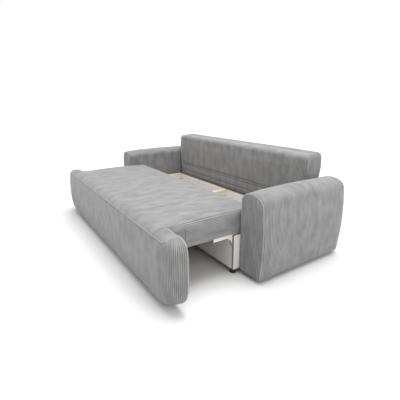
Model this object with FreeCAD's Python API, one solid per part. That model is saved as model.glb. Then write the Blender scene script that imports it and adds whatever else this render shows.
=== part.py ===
"""Pull-out sofa bed: the seat drawn out on castors, the backrest upright behind an open bedding chest.

Millimetres. +Z is up, +X is the width from left to right seen from the front, +Y runs to the back.
The origin is on the floor, under the middle of the whole object with the seat drawn out.
"""
import FreeCAD, Part
import math
import os

V = FreeCAD.Vector
X_AXIS = V(1, 0, 0)
Y_AXIS = V(0, 1, 0)
Z_AXIS = V(0, 0, 1)

# Driving dimensions
BED_WIDTH = 2000.0        # clear width between the arms
ARM_WIDTH = 215.0         # arm, inner face to outer edge, before its crown
ARM_CROWN = 20.0          # how far the arm's outer face swells
ARM_HEIGHT = 640.0        # top of the arm
ARM_CLEAR = 30.0          # under the arm
SHUT_DEPTH = 1080.0       # front panel's fullest face to the back of the arms, with the seat in
SEAT_OVERLAP = 225.0      # of the drawn-out seat, what stays over the chest
CHEST_LEAD = 50.0         # the chest stands this far in front of the arms
CHEST_TO_PANEL = 10.0     # shut front panel to the chest
CHEST_CLEAR = 38.0        # under the chest
CHEST_TOP = 303.0         # top edge of the chest
BOARD = 18.0              # laminated chipboard
SEAT_TOP = 465.0          # fullest height of the seat
SEAT_THICK = 153.0        # seat slab with its crown
SEAT_SIDE_GAP = 15.0      # seat slab to each arm
PANEL_THICK = 115.0       # upholstered front panel, back to fullest front
PANEL_CLEAR = 28.0        # under the front panel
PANEL_TOP = 472.0         # top of the front panel
PANEL_HALF = 1225.0       # middle to the end of the front panel
BACK_THICK = 195.0        # backrest with both crowns
BACK_END_GAP = 25.0       # backrest to each arm
BACK_SETBACK = 30.0       # backrest's rear to the fullest point of the arms' backs
BACK_BOARD_INSET = 15.0   # lower rear board to the fullest point of the arms' backs
WHEEL_RADIUS = 20.0       # castor wheel

# Clearances and fits
SEATED = 0.3              # a piece lies this far off what carries it
RUNNING = 0.05            # pin in its hole, on the radius
SIDE_PLAY = 2.0           # runner to the board and the rail beside it
CLOSED_GAP = 5.0          # shut seat to the backrest
BED_JOINT_GAP = 5.0       # lying backrest to the drawn-out seat
LYING_GAP = 1.0           # lying backrest to the rails under it
PIVOT_OFFSET = 1.0        # hinge line behind and below the back board's top rear edge
OVERRUN = 5.0             # a cutting tool runs this far past a face

# Places that follow
SEAT_DEPTH = SHUT_DEPTH - PANEL_THICK - CLOSED_GAP - BACK_THICK - BACK_SETBACK
TRAVEL = SEAT_DEPTH - CHEST_TO_PANEL - SEAT_OVERLAP
OPEN_DEPTH = SHUT_DEPTH + TRAVEL
BACK_PLANE = OPEN_DEPTH / 2
PANEL_FRONT = -OPEN_DEPTH / 2
PANEL_BACK = PANEL_FRONT + PANEL_THICK
CHEST_FRONT = PANEL_BACK + TRAVEL + CHEST_TO_PANEL
ARM_FRONT = CHEST_FRONT + CHEST_LEAD
ARM_DEPTH = BACK_PLANE - ARM_FRONT
BACK_REAR = BACK_PLANE - BACK_SETBACK
BACK_FACE = BACK_REAR - BACK_THICK
SEAT_REAR = PANEL_BACK + SEAT_DEPTH
ARM_INNER = BED_WIDTH / 2
SIDE_INNER = ARM_INNER - BOARD
SEAT_HALF = ARM_INNER - SEAT_SIDE_GAP
SEAT_LOW = SEAT_TOP - SEAT_THICK
BACK_HALF = ARM_INNER - BACK_END_GAP
PIVOT_Y = BACK_FACE - PIVOT_OFFSET - LYING_GAP
PIVOT_Z = CHEST_TOP - PIVOT_OFFSET
BACK_TOP = PIVOT_Z + PIVOT_Y - SEAT_REAR - BED_JOINT_GAP
INNER_BACK = PIVOT_Y - PIVOT_OFFSET
REAR_FACE = BACK_PLANE - BACK_BOARD_INSET


def cuboid(x, y, z):
    """Box between the low and high value of each axis."""
    return Part.makeBox(x[1] - x[0], y[1] - y[0], z[1] - z[0], V(x[0], y[0], z[0]))


def mirrored(shape):
    """The same piece on the other side of the middle."""
    return shape.mirror(V(0, 0, 0), X_AXIS)


def both(shape):
    """A piece on the right and its twin on the left."""
    return [shape, mirrored(shape)]


def outline(points, normal, depth):
    """Flat plate from an outline of corner points, thickened along normal."""
    return Part.Face(Part.makePolygon(points + points[:1])).extrude(normal * depth)


class Straight:
    """Side of an outline between two corners, as seen from inside it."""

    def __init__(self, start, end, inward):
        self.start = start
        self.inward = inward

    def depth(self, point):
        return (point - self.start).dot(self.inward)

    def way_in(self, point):
        return self.inward

    def edge(self, start, end):
        return Part.makeLine(start, end)


class Swollen(Straight):
    """Side that swells outward in an arc through both corners."""

    def __init__(self, start, end, inward, crown):
        half = (end - start).Length / 2
        self.radius = (half * half + crown * crown) / (2 * crown)
        self.centre = (start + end) * 0.5 + inward * (self.radius - crown)

    def depth(self, point):
        return self.radius - (point - self.centre).Length

    def way_in(self, point):
        return (self.centre - point).normalize()

    def edge(self, start, end):
        middle = ((start + end) * 0.5 - self.centre).normalize()
        return Part.Arc(start, self.centre + middle * self.radius, end).toShape()


def fillet(corner, before, after, radius):
    """Centre and two touching points of a corner arc, tangent to both sides."""
    centre = corner + (before.way_in(corner) + after.way_in(corner)) * radius
    for _ in range(12):
        a, b = before.way_in(centre), after.way_in(centre)
        miss_a, miss_b = radius - before.depth(centre), radius - after.depth(centre)
        slant = a.dot(b)
        step_a = (miss_a - slant * miss_b) / (1 - slant * slant)
        step_b = (miss_b - slant * miss_a) / (1 - slant * slant)
        centre = centre + a * step_a + b * step_b
    return centre, centre - before.way_in(centre) * radius, centre - after.way_in(centre) * radius


def section(place, low, high, radii, crowns):
    """Closed outline of four sides and four rounded corners that run smoothly into them.

    place maps (u, v) into space. radii run from the low-low corner round by the bottom's far end.
    crowns are for the bottom, far, top and near side.
    """
    (u0, v0), (u1, v1) = low, high
    u_way = place(1, 0) - place(0, 0)
    v_way = place(0, 1) - place(0, 0)
    corners = [place(u0, v0), place(u1, v0), place(u1, v1), place(u0, v1)]
    inwards = [v_way, u_way * -1, v_way * -1, u_way]
    sides = []
    for n, crown in enumerate(crowns):
        start, end = corners[n], corners[(n + 1) % len(corners)]
        if crown == 0:
            sides.append(Straight(start, end, inwards[n]))
        else:
            sides.append(Swollen(start, end, inwards[n], crown))
    ends = []
    for n, corner in enumerate(corners):
        centre, first, last = fillet(corner, sides[n - 1], sides[n], radii[n])
        ends.append((first, centre + (corner - centre).normalize() * radii[n], last))
    edges = []
    for n, side in enumerate(sides):
        edges.append(Part.Arc(*ends[n]).toShape())
        edges.append(side.edge(ends[n][2], ends[(n + 1) % len(ends)][0]))
    return Part.Wire(edges)


def round_over(radius, steps=3):
    """(run, inset) pairs of a quarter round, from its flat end to where it dies out."""
    turns = [math.pi / 2 * (1 - n / steps) for n in range(steps + 1)]
    return [(radius * (1 - math.sin(a)), radius * (1 - math.cos(a))) for a in turns]


def loft(sections):
    return Part.makeLoft(sections, True, True)


# Bedding chest
RAIL_WIDE = 48.0          # pine rails that carry the seat and the lying backrest
RAIL_HIGH = 55.0
FLOOR_THICK = 4.0         # hardboard floor
BEARER_HIGH = 18.0
BEARER_WIDE = 40.0
BEARER_REACH_SHARE = 0.8  # outer bearers, as a share of the chest's half width
BLOCK_SIDE = 40.0         # corner blocks
BLOCK_HIGH = 150.0
RUNNER_THICK = 16.0
RUNNER_DEPTH = 89.0       # runner, seat to its lower edge
RUNNER_CLEAR = 5.0        # under the runner in the front board's notch
HINGE_STEEL = 3.0
HINGE_GAP = 0.5           # between the turning plate and its neighbours
EAR_RADIUS = 12.0         # round end of a hinge plate
EAR_CLEAR = 3.0           # notch round the ear
FOOT_RADIUS = 27.0
FOOT_TAPER = 3.0
FOOT_INSET = 8.0          # foot's rim to the chest's outer faces
FLOOR_TOP = CHEST_CLEAR + BEARER_HIGH + FLOOR_THICK
RUNNER_LOW = SEAT_LOW - RUNNER_DEPTH
RUNNER_SLOT = RUNNER_THICK + 2 * SIDE_PLAY
RAIL_OUTER = SIDE_INNER - RUNNER_SLOT
INNER_BOARD_FRONT = INNER_BACK - BOARD
FRONT_BOARD_BACK = CHEST_FRONT + BOARD
TURNING_PLATE_OUT = SIDE_INNER - HINGE_STEEL - HINGE_GAP
TURNING_PLATE_IN = TURNING_PLATE_OUT - HINGE_STEEL


def chest_side():
    board = cuboid((SIDE_INNER, ARM_INNER), (CHEST_FRONT, REAR_FACE), (CHEST_CLEAR, CHEST_TOP))
    return board.cut(arm_bolt_holes())


def chest_front_board():
    """Front board, cut out at its top ends so the seat's runners pass over it."""
    board = cuboid((-SIDE_INNER, SIDE_INNER), (CHEST_FRONT, FRONT_BOARD_BACK), (CHEST_CLEAR, CHEST_TOP))
    notch = cuboid(
        (RAIL_OUTER, SIDE_INNER + OVERRUN),
        (CHEST_FRONT - OVERRUN, FRONT_BOARD_BACK + OVERRUN),
        (RUNNER_LOW - RUNNER_CLEAR, CHEST_TOP + OVERRUN),
    )
    return board.cut(Part.makeCompound(both(notch)))


def chest_back_board():
    """Board behind the bedding, notched at its top ends for the hinge ears."""
    board = cuboid((-SIDE_INNER, SIDE_INNER), (INNER_BOARD_FRONT, INNER_BACK), (CHEST_CLEAR, CHEST_TOP))
    notch = cuboid(
        (TURNING_PLATE_IN - PIN_HEAD - SIDE_PLAY, SIDE_INNER + OVERRUN),
        (INNER_BOARD_FRONT - OVERRUN, INNER_BACK + OVERRUN),
        (PIVOT_Z - EAR_RADIUS - EAR_CLEAR, CHEST_TOP + OVERRUN),
    )
    return board.cut(Part.makeCompound(both(notch)))


def chest_rear_board():
    return cuboid(
        (-SIDE_INNER, SIDE_INNER),
        (REAR_FACE - BOARD, REAR_FACE),
        (CHEST_CLEAR, CHEST_TOP - BOARD - SEATED),
    )


def back_shelf():
    """Shelf under the upright backrest, which stops it from leaning further back."""
    top = CHEST_TOP - SEATED
    front = INNER_BACK + SEATED + BRACKET_FOOT + HINGE_GAP
    return cuboid((-SIDE_INNER, SIDE_INNER), (front, REAR_FACE), (top - BOARD, top))


def chest_floor():
    return cuboid(
        (-SIDE_INNER, SIDE_INNER),
        (FRONT_BOARD_BACK, INNER_BOARD_FRONT),
        (FLOOR_TOP - FLOOR_THICK, FLOOR_TOP),
    )


def floor_bearers():
    reach = SIDE_INNER * BEARER_REACH_SHARE
    return [
        cuboid(
            (x - BEARER_WIDE / 2, x + BEARER_WIDE / 2),
            (FRONT_BOARD_BACK, INNER_BOARD_FRONT),
            (CHEST_CLEAR, CHEST_CLEAR + BEARER_HIGH),
        )
        for x in (-reach, 0, reach)
    ]


def cross_rail(outer):
    """Pine rail from front to back, level with the chest's top edge."""
    return cuboid(
        (outer - RAIL_WIDE, outer),
        (FRONT_BOARD_BACK, INNER_BOARD_FRONT),
        (CHEST_TOP - RAIL_HIGH, CHEST_TOP),
    )


def corner_blocks():
    blocks = []
    for front in (FRONT_BOARD_BACK, INNER_BOARD_FRONT - BLOCK_SIDE):
        blocks += both(
            cuboid(
                (SIDE_INNER - BLOCK_SIDE, SIDE_INNER),
                (front, front + BLOCK_SIDE),
                (FLOOR_TOP, FLOOR_TOP + BLOCK_HIGH),
            )
        )
    return blocks


def chest_feet():
    """Black plastic feet, three under the front board and three under the rear one."""
    rim = FOOT_RADIUS + FOOT_INSET
    feet = []
    for x in (-ARM_INNER + rim, 0, ARM_INNER - rim):
        for y in (CHEST_FRONT + rim - FOOT_INSET, REAR_FACE - rim):
            feet.append(Part.makeCone(FOOT_RADIUS - FOOT_TAPER, FOOT_RADIUS, CHEST_CLEAR, V(x, y, 0)))
    return feet


# Arms
ARM_FRONT_ROUND = 14.0
ARM_BACK_ROUND = 48.0
ARM_INNER_RADIUS = 52.0   # arch, on the sitter's side
ARM_OUTER_RADIUS = 72.0   # arch, on the outer side
ARM_FOOT_RADIUS = 8.0     # lower edges
ARM_TOP_CROWN = 40.0      # the arch itself
ARM_TOP_DROP = 16.0       # the arch is this much lower at the front face
ARM_PEAK_SHARE = 0.4      # where along its depth the arch is highest
ARM_BACK_DROP_SHARE = 0.45
ARM_PAD = 12.0            # padding on the inner and end faces of the frame
ARM_OUTER_PAD = 28.0
ARM_TOP_PAD = 80.0
ARM_END_PAD = 32.0
PANEL_BOARD = 16.0        # frame boards of arms and front panel
ARM_SECTION_SHARES = (0.18, 0.5)
ARM_RIB_SHARES = (0.02, 0.5, 0.98)
ARM_BOLT_RADIUS = 4.0
ARM_BOLT_HEAD_RADIUS = 9.0  # hexagon, over its corners
ARM_BOLT_HEAD = 4.5
ARM_BOLT_HIGH_SHARE = 0.38
ARM_BOLT_TO_BLOCK = 60.0  # bolt to the chest's corner block
GLIDE_WIDE = 44.0         # plastic skids under the arms
GLIDE_LONG = 90.0
GLIDE_INSET = 30.0
GLIDE_BEVEL = 5.0
ARM_CORE_X = (ARM_INNER + ARM_PAD, ARM_INNER + ARM_WIDTH - ARM_OUTER_PAD)
ARM_CORE_Y = (ARM_FRONT + ARM_END_PAD, BACK_PLANE - ARM_END_PAD)
ARM_CORE_TOP = ARM_HEIGHT - ARM_TOP_PAD
ARM_BOLT_Z = CHEST_TOP * ARM_BOLT_HIGH_SHARE


def arm_top(y):
    """Height of the arch along the arm: lower at the front face, highest before the middle."""
    peak = ARM_FRONT + ARM_DEPTH * ARM_PEAK_SHARE
    if y < peak:
        return ARM_HEIGHT - ARM_TOP_DROP * ((peak - y) / (peak - ARM_FRONT)) ** 2
    fall = ARM_TOP_DROP * ARM_BACK_DROP_SHARE
    return ARM_HEIGHT - fall * ((y - peak) / (BACK_PLANE - peak)) ** 2


def arm_section(y, inset):
    narrowing = (ARM_WIDTH - 2 * inset) / ARM_WIDTH
    arch = ARM_TOP_CROWN * narrowing
    low = (ARM_INNER + SEATED + inset, ARM_CLEAR)
    high = (ARM_INNER + ARM_WIDTH - inset, arm_top(y) - arch - inset)
    radii = (ARM_FOOT_RADIUS, ARM_FOOT_RADIUS, ARM_OUTER_RADIUS * narrowing, ARM_INNER_RADIUS * narrowing)
    return section(lambda u, v: V(u, y, v), low, high, radii, (0, ARM_CROWN, arch, 0))


def arm_bolt_places():
    reach = BLOCK_SIDE + ARM_BOLT_TO_BLOCK
    return [V(SIDE_INNER, y, ARM_BOLT_Z) for y in (FRONT_BOARD_BACK + reach, INNER_BOARD_FRONT - reach)]


def arm_bolt_holes():
    length = ARM_CORE_X[0] + PANEL_BOARD - SIDE_INNER
    return Part.makeCompound(
        [
            Part.makeCylinder(ARM_BOLT_RADIUS + SEATED, length + 2 * OVERRUN, p - X_AXIS * OVERRUN, X_AXIS)
            for p in arm_bolt_places()
        ]
    )


def arm_upholstery():
    """Padded cover with an arched top, swollen outside, open below where the frame goes in."""
    front = [(ARM_FRONT + run, inset) for run, inset in round_over(ARM_FRONT_ROUND, 2)]
    back = [(BACK_PLANE - run, inset) for run, inset in reversed(round_over(ARM_BACK_ROUND))]
    between = [(ARM_FRONT + ARM_DEPTH * share, 0) for share in ARM_SECTION_SHARES]
    pad = loft([arm_section(y, inset) for y, inset in front + between + back])
    hollow = cuboid(
        (ARM_CORE_X[0] - SEATED, ARM_CORE_X[1] + SEATED),
        (ARM_CORE_Y[0] - SEATED, ARM_CORE_Y[1] + SEATED),
        (ARM_CLEAR - OVERRUN, ARM_CORE_TOP + SEATED),
    )
    windows = [
        cuboid(
            (ARM_INNER - OVERRUN, ARM_CORE_X[0] + OVERRUN),
            (place.y - ARM_BOLT_HEAD_RADIUS, place.y + ARM_BOLT_HEAD_RADIUS),
            (place.z - ARM_BOLT_HEAD_RADIUS, place.z + ARM_BOLT_HEAD_RADIUS),
        )
        for place in arm_bolt_places()
    ]
    return pad.cut(hollow).cut(Part.makeCompound(windows))


def arm_frame():
    """Two boards, ribs between them and a top board, as one glued frame."""
    (x0, x1), (y0, y1) = ARM_CORE_X, ARM_CORE_Y
    low = ARM_CLEAR + PANEL_BOARD
    high = ARM_CORE_TOP - PANEL_BOARD
    boards = [
        cuboid((x0, x0 + PANEL_BOARD), (y0, y1), (low, high)),
        cuboid((x1 - PANEL_BOARD, x1), (y0, y1), (low, high)),
        cuboid((x0, x1), (y0, y1), (high, ARM_CORE_TOP)),
    ]
    for share in ARM_RIB_SHARES:
        y = y0 + (y1 - y0 - PANEL_BOARD) * share
        boards.append(cuboid((x0 + PANEL_BOARD, x1 - PANEL_BOARD), (y, y + PANEL_BOARD), (low, high)))
    return [board.cut(arm_bolt_holes()) for board in boards]


def arm_base_board():
    return cuboid(ARM_CORE_X, ARM_CORE_Y, (ARM_CLEAR, ARM_CLEAR + PANEL_BOARD))


def arm_bolts():
    """Bolts from inside the chest into the arm's frame."""
    bolts = []
    reach = ARM_CORE_X[0] + PANEL_BOARD - SIDE_INNER
    for place in arm_bolt_places():
        shank = Part.makeCylinder(ARM_BOLT_RADIUS, reach, place, X_AXIS)
        turns = [math.pi / 3 * n for n in range(6)]
        ring = [V(0, math.cos(a), math.sin(a)) * ARM_BOLT_HEAD_RADIUS for a in turns]
        head = outline([place - X_AXIS * ARM_BOLT_HEAD + point for point in ring], X_AXIS, ARM_BOLT_HEAD)
        bolts += both(shank.fuse(head))
    return bolts


def arm_glides():
    """Moulded skids with bevelled feet, front and back under each arm."""
    middle = (ARM_CORE_X[0] + ARM_CORE_X[1]) / 2
    glides = []
    for y in (ARM_CORE_Y[0] + GLIDE_INSET, ARM_CORE_Y[1] - GLIDE_INSET - GLIDE_LONG):
        corners = [
            V(middle, y, ARM_CLEAR),
            V(middle, y, GLIDE_BEVEL),
            V(middle, y + GLIDE_BEVEL, 0),
            V(middle, y + GLIDE_LONG - GLIDE_BEVEL, 0),
            V(middle, y + GLIDE_LONG, GLIDE_BEVEL),
            V(middle, y + GLIDE_LONG, ARM_CLEAR),
        ]
        near = [point - X_AXIS * (GLIDE_WIDE / 2) for point in corners]
        glides += both(outline(near, X_AXIS, GLIDE_WIDE))
    return glides


# Backrest
BACK_CROWN = 10.0
BACK_FRONT_RADIUS = 40.0
BACK_REAR_RADIUS = 46.0
BACK_LOW_RADIUS = 8.0
BACK_END_ROUND = 26.0
BACK_FRAME_THICK = 50.0
BACK_FRAME_FRONT = 75.0   # front crown to the frame
BACK_FRAME_PAD = 20.0     # frame to the pad's ends
BACK_FRAME_TOP_PAD = 30.0
BACK_MEMBER = 45.0        # width of the frame's timbers
BACK_POST_SHARES = (-1 / 3, 1 / 3)
BACK_PLY = 4.0
SCREW_RADIUS = 3.0
PACKING_DEPTH = 85.0      # block that the hinge plate is screwed to
PACKING_HIGH = 95.0
PIN_RADIUS = 5.0
PIN_HEAD_RADIUS = 8.0
PIN_HEAD = 4.0
BRACKET_FOOT = 95.0       # fixed plate, along the side board
BRACKET_DROP = 110.0      # fixed plate, below the pivot
BACK_FRAME_Y = (BACK_FACE + BACK_FRAME_FRONT, BACK_FACE + BACK_FRAME_FRONT + BACK_FRAME_THICK)
BACK_FRAME_HALF = BACK_HALF - BACK_FRAME_PAD
BACK_FRAME_TOP = BACK_TOP - BACK_FRAME_TOP_PAD
PACKING_Y = (BACK_FRAME_Y[1] - PACKING_DEPTH, BACK_FRAME_Y[1])


def back_section(x, inset):
    low = (BACK_FACE + BACK_CROWN + inset, CHEST_TOP)
    high = (BACK_REAR - BACK_CROWN - inset, BACK_TOP - BACK_CROWN - inset)
    radii = (BACK_LOW_RADIUS, BACK_LOW_RADIUS, BACK_REAR_RADIUS, BACK_FRONT_RADIUS)
    return section(lambda u, v: V(x, u, v), low, high, radii, (0, BACK_CROWN, BACK_CROWN, BACK_CROWN))


def back_upholstery():
    """Thick padded backrest, open below where its frame goes in and at the hinge blocks."""
    ends = round_over(BACK_END_ROUND)
    left = [(-BACK_HALF + run, inset) for run, inset in ends]
    right = [(BACK_HALF - run, inset) for run, inset in reversed(ends)]
    pad = loft([back_section(x, inset) for x, inset in left + right])
    hollow = cuboid(
        (-BACK_FRAME_HALF - SEATED, BACK_FRAME_HALF + SEATED),
        (BACK_FRAME_Y[0] - SEATED, BACK_FRAME_Y[1] + SEATED),
        (CHEST_TOP - OVERRUN, BACK_FRAME_TOP + SEATED),
    )
    recess = cuboid(
        (BACK_FRAME_HALF - OVERRUN, BACK_HALF + OVERRUN),
        (PACKING_Y[0] - SEATED, PACKING_Y[1] + SEATED),
        (CHEST_TOP - OVERRUN, CHEST_TOP + PACKING_HIGH + SEATED),
    )
    return pad.cut(hollow).cut(Part.makeCompound(both(recess)))


def back_frame_rails():
    (y0, y1), half = BACK_FRAME_Y, BACK_FRAME_HALF
    y1 = y1 - BACK_PLY
    return [
        cuboid((-half, half), (y0, y1), (CHEST_TOP, CHEST_TOP + BACK_MEMBER)),
        cuboid((-half, half), (y0, y1), (BACK_FRAME_TOP - BACK_MEMBER, BACK_FRAME_TOP)),
    ]


def back_frame_posts():
    """End posts and two more between the rails."""
    y = (BACK_FRAME_Y[0], BACK_FRAME_Y[1] - BACK_PLY)
    z = (CHEST_TOP + BACK_MEMBER, BACK_FRAME_TOP - BACK_MEMBER)
    posts = both(cuboid((BACK_FRAME_HALF - BACK_MEMBER, BACK_FRAME_HALF), y, z))
    for share in BACK_POST_SHARES:
        x = BACK_FRAME_HALF * share
        posts.append(cuboid((x - BACK_MEMBER / 2, x + BACK_MEMBER / 2), y, z))
    return posts


def back_frame_panel():
    return cuboid(
        (-BACK_FRAME_HALF, BACK_FRAME_HALF),
        (BACK_FRAME_Y[1] - BACK_PLY, BACK_FRAME_Y[1]),
        (CHEST_TOP, BACK_FRAME_TOP),
    )


def pivot_cylinder(radius, start, end):
    return Part.makeCylinder(radius, end - start, V(start, PIVOT_Y, PIVOT_Z), X_AXIS)


def hinge_block():
    """Packing block on the frame's end, which fills the padding behind the hinge plate."""
    return cuboid((BACK_FRAME_HALF, TURNING_PLATE_IN), PACKING_Y, (CHEST_TOP, CHEST_TOP + PACKING_HIGH))


def turning_plate():
    """Steel plate on the backrest's end, with a round ear at the hinge line."""
    y1, z0, z1 = PACKING_Y[1], CHEST_TOP + SEATED, CHEST_TOP + PACKING_HIGH
    x = TURNING_PLATE_IN
    plate = outline(
        [
            V(x, PIVOT_Y, z0),
            V(x, y1, z0),
            V(x, y1, z1),
            V(x, PACKING_Y[0], z1),
            V(x, PIVOT_Y - EAR_RADIUS / 2, z0 + EAR_RADIUS / 2),
        ],
        X_AXIS,
        HINGE_STEEL,
    )
    ear = pivot_cylinder(EAR_RADIUS, x, x + HINGE_STEEL)
    hole = pivot_cylinder(PIN_RADIUS + RUNNING, x - OVERRUN, x + HINGE_STEEL + OVERRUN)
    return plate.fuse(ear).removeSplitter().cut(hole)


def fixed_plate():
    """Steel plate on the chest's side board, which holds the hinge pin."""
    x = SIDE_INNER - HINGE_STEEL
    low = PIVOT_Z - BRACKET_DROP
    y0 = INNER_BACK + SEATED
    plate = outline(
        [
            V(x, y0, low),
            V(x, y0 + BRACKET_FOOT, low),
            V(x, y0 + BRACKET_FOOT, low + BRACKET_DROP / 2),
            V(x, PIVOT_Y + EAR_RADIUS, PIVOT_Z),
            V(x, y0, PIVOT_Z),
        ],
        X_AXIS,
        HINGE_STEEL,
    )
    ear = pivot_cylinder(EAR_RADIUS, x, SIDE_INNER)
    hole = pivot_cylinder(PIN_RADIUS, x - OVERRUN, SIDE_INNER + OVERRUN)
    return plate.fuse(ear).removeSplitter().cut(hole)


def hinge_pin():
    """Pin through both plates, fast in the fixed one, with its head on the backrest's side."""
    shank = pivot_cylinder(PIN_RADIUS, TURNING_PLATE_IN, SIDE_INNER)
    return shank.fuse(pivot_cylinder(PIN_HEAD_RADIUS, TURNING_PLATE_IN - PIN_HEAD, TURNING_PLATE_IN))


# Seat
SEAT_CROWN = 10.0
SEAT_REAR_RADIUS = 34.0
SEAT_LOW_RADIUS = 10.0
SEAT_FRONT_RADIUS = 3.0
SEAT_END_ROUND = 24.0
SEAT_WALL = 20.0          # padding behind the frame
SEAT_END_WALL = 5.0       # padding over the frame's ends
SEAT_BOARD = 3.0          # hardboard under the frame
SEAT_MEMBER = 45.0
SEAT_MEMBER_HIGH = 42.0
SEAT_BAR_SHARES = (-0.5, 0, 0.5)
SPRING_COUNT = 8
SPRING_WIRE = 4.0
SPRING_WAVES = 5
SPRING_AMPLITUDE = 34.0
RUNNER_TIP_SHARE = 0.472  # where the runner's slim arm begins, along the seat slab
RUNNER_ARM_HIGH = 26.0
RUNNER_FILLET = 60.0
RUNNER_REAR_GAP = 9.0     # shut runner to the back board
STOP_SIDE = 40.0
STOP_HIGH = 40.0
STOP_REACH_SHARE = 0.85
SEAT_GLIDE_SIDE = 34.0
SEAT_CORE_HALF = SEAT_HALF - SEAT_END_WALL
SEAT_CORE_Y = (PANEL_BACK, SEAT_REAR - SEAT_WALL)
SEAT_FRAME_LOW = SEAT_LOW + SEAT_BOARD
SEAT_FRAME_TOP = SEAT_FRAME_LOW + SEAT_MEMBER_HIGH
RUNNER_OUT = SIDE_INNER - SIDE_PLAY


def seat_section(x, inset):
    low = (PANEL_BACK, SEAT_LOW)
    high = (SEAT_REAR - inset, SEAT_TOP - SEAT_CROWN - inset)
    radii = (SEAT_FRONT_RADIUS, SEAT_LOW_RADIUS, SEAT_REAR_RADIUS, SEAT_FRONT_RADIUS)
    return section(lambda u, v: V(x, u, v), low, high, radii, (0, 0, SEAT_CROWN, 0))


def seat_upholstery():
    """Seat slab, crowned on top, open below round its frame."""
    ends = round_over(SEAT_END_ROUND)
    left = [(-SEAT_HALF + run, inset) for run, inset in ends]
    right = [(SEAT_HALF - run, inset) for run, inset in reversed(ends)]
    pad = loft([seat_section(x, inset) for x, inset in left + right])
    hollow = cuboid(
        (-SEAT_CORE_HALF - SEATED, SEAT_CORE_HALF + SEATED),
        (PANEL_BACK - OVERRUN, SEAT_CORE_Y[1] + SEATED),
        (SEAT_LOW - OVERRUN, SEAT_FRAME_TOP + SPRING_WIRE + SEATED),
    )
    return pad.cut(hollow)


def seat_base_board():
    return cuboid((-SEAT_CORE_HALF, SEAT_CORE_HALF), SEAT_CORE_Y, (SEAT_LOW, SEAT_FRAME_LOW))


def seat_frame_rails():
    """Front and rear rails and the two end rails."""
    (y0, y1), half = SEAT_CORE_Y, SEAT_CORE_HALF
    z = (SEAT_FRAME_LOW, SEAT_FRAME_TOP)
    rails = [
        cuboid((-half, half), (y0, y0 + SEAT_MEMBER), z),
        cuboid((-half, half), (y1 - SEAT_MEMBER, y1), z),
    ]
    return rails + both(cuboid((half - SEAT_MEMBER, half), (y0 + SEAT_MEMBER, y1 - SEAT_MEMBER), z))


def seat_frame_bars():
    y = (SEAT_CORE_Y[0] + SEAT_MEMBER, SEAT_CORE_Y[1] - SEAT_MEMBER)
    bars = []
    for share in SEAT_BAR_SHARES:
        x = SEAT_CORE_HALF * share
        bars.append(cuboid((x - SEAT_MEMBER / 2, x + SEAT_MEMBER / 2), y, (SEAT_FRAME_LOW, SEAT_FRAME_TOP)))
    return bars


def seat_spring(x):
    """One zigzag spring: a flat wave of square wire from the front rail to the rear one."""
    y0 = SEAT_CORE_Y[0] + SEAT_MEMBER / 2
    y1 = SEAT_CORE_Y[1] - SEAT_MEMBER / 2
    pitch = (y1 - y0) / (2 * SPRING_WAVES)
    half_wire = SPRING_WIRE / 2
    near, far = [], []
    for n in range(2 * SPRING_WAVES + 1):
        way = 0 if n in (0, 2 * SPRING_WAVES) else (SPRING_AMPLITUDE if n % 2 else -SPRING_AMPLITUDE)
        near.append(V(x + way - half_wire, y0 + pitch * n, SEAT_FRAME_TOP))
        far.append(V(x + way + half_wire, y0 + pitch * n, SEAT_FRAME_TOP))
    return outline(near + far[::-1], Z_AXIS, SPRING_WIRE)


def seat_springs():
    step = 2 * SEAT_CORE_HALF / SPRING_COUNT
    return [seat_spring(-SEAT_CORE_HALF + step * (n + 0.5)) for n in range(SPRING_COUNT)]


def seat_runner():
    """Laminated guide board under the seat's end, cut back to a slim arm with a round inner corner."""
    x = RUNNER_OUT - RUNNER_THICK
    tip = PANEL_BACK + SEAT_DEPTH * RUNNER_TIP_SHARE
    rear = INNER_BOARD_FRONT - TRAVEL - RUNNER_REAR_GAP
    arm_low = SEAT_LOW - RUNNER_ARM_HIGH
    corner = CHEST_FRONT - SIDE_PLAY
    turn = V(x, corner - RUNNER_FILLET, arm_low - RUNNER_FILLET)
    reach = RUNNER_FILLET * math.sqrt(0.5)
    fillet = Part.Arc(
        V(x, turn.y, arm_low), V(x, turn.y + reach, turn.z + reach), V(x, corner, turn.z)
    ).toShape()
    corners = [
        V(x, corner, turn.z),
        V(x, corner, RUNNER_LOW),
        V(x, rear, RUNNER_LOW),
        V(x, rear, SEAT_LOW),
        V(x, tip, SEAT_LOW),
        V(x, tip, arm_low),
        V(x, turn.y, arm_low),
    ]
    edges = [Part.makeLine(a, b) for a, b in zip(corners, corners[1:])]
    return Part.Face(Part.Wire(Part.sortEdges(edges + [fillet])[0])).extrude(X_AXIS * RUNNER_THICK)


def seat_stops():
    """Blocks under the seat that meet the front board when the seat is fully out."""
    x = SIDE_INNER * STOP_REACH_SHARE
    y = FRONT_BOARD_BACK + SEATED
    return both(
        cuboid((x - STOP_SIDE / 2, x + STOP_SIDE / 2), (y, y + STOP_SIDE), (SEAT_LOW - STOP_HIGH, SEAT_LOW))
    )


def seat_glides():
    """Plastic glides under the seat's rear rail, one on each pine rail."""
    y1 = SEAT_CORE_Y[1]
    side_x = RAIL_OUTER - RAIL_WIDE / 2
    glides = []
    for x in (-side_x, 0, side_x):
        glides.append(
            cuboid(
                (x - SEAT_GLIDE_SIDE / 2, x + SEAT_GLIDE_SIDE / 2),
                (y1 - SEAT_GLIDE_SIDE, y1),
                (CHEST_TOP + SEATED, SEAT_LOW),
            )
        )
    return glides


# Front panel
PANEL_CROWN = 15.0
PANEL_FRONT_RADIUS = 46.0
PANEL_BACK_RADIUS = 16.0
PANEL_FOOT_RADIUS = 22.0
PANEL_FOOT_BACK_RADIUS = 8.0
PANEL_FULL_SHARE = 0.895  # how far the full section reaches
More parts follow.
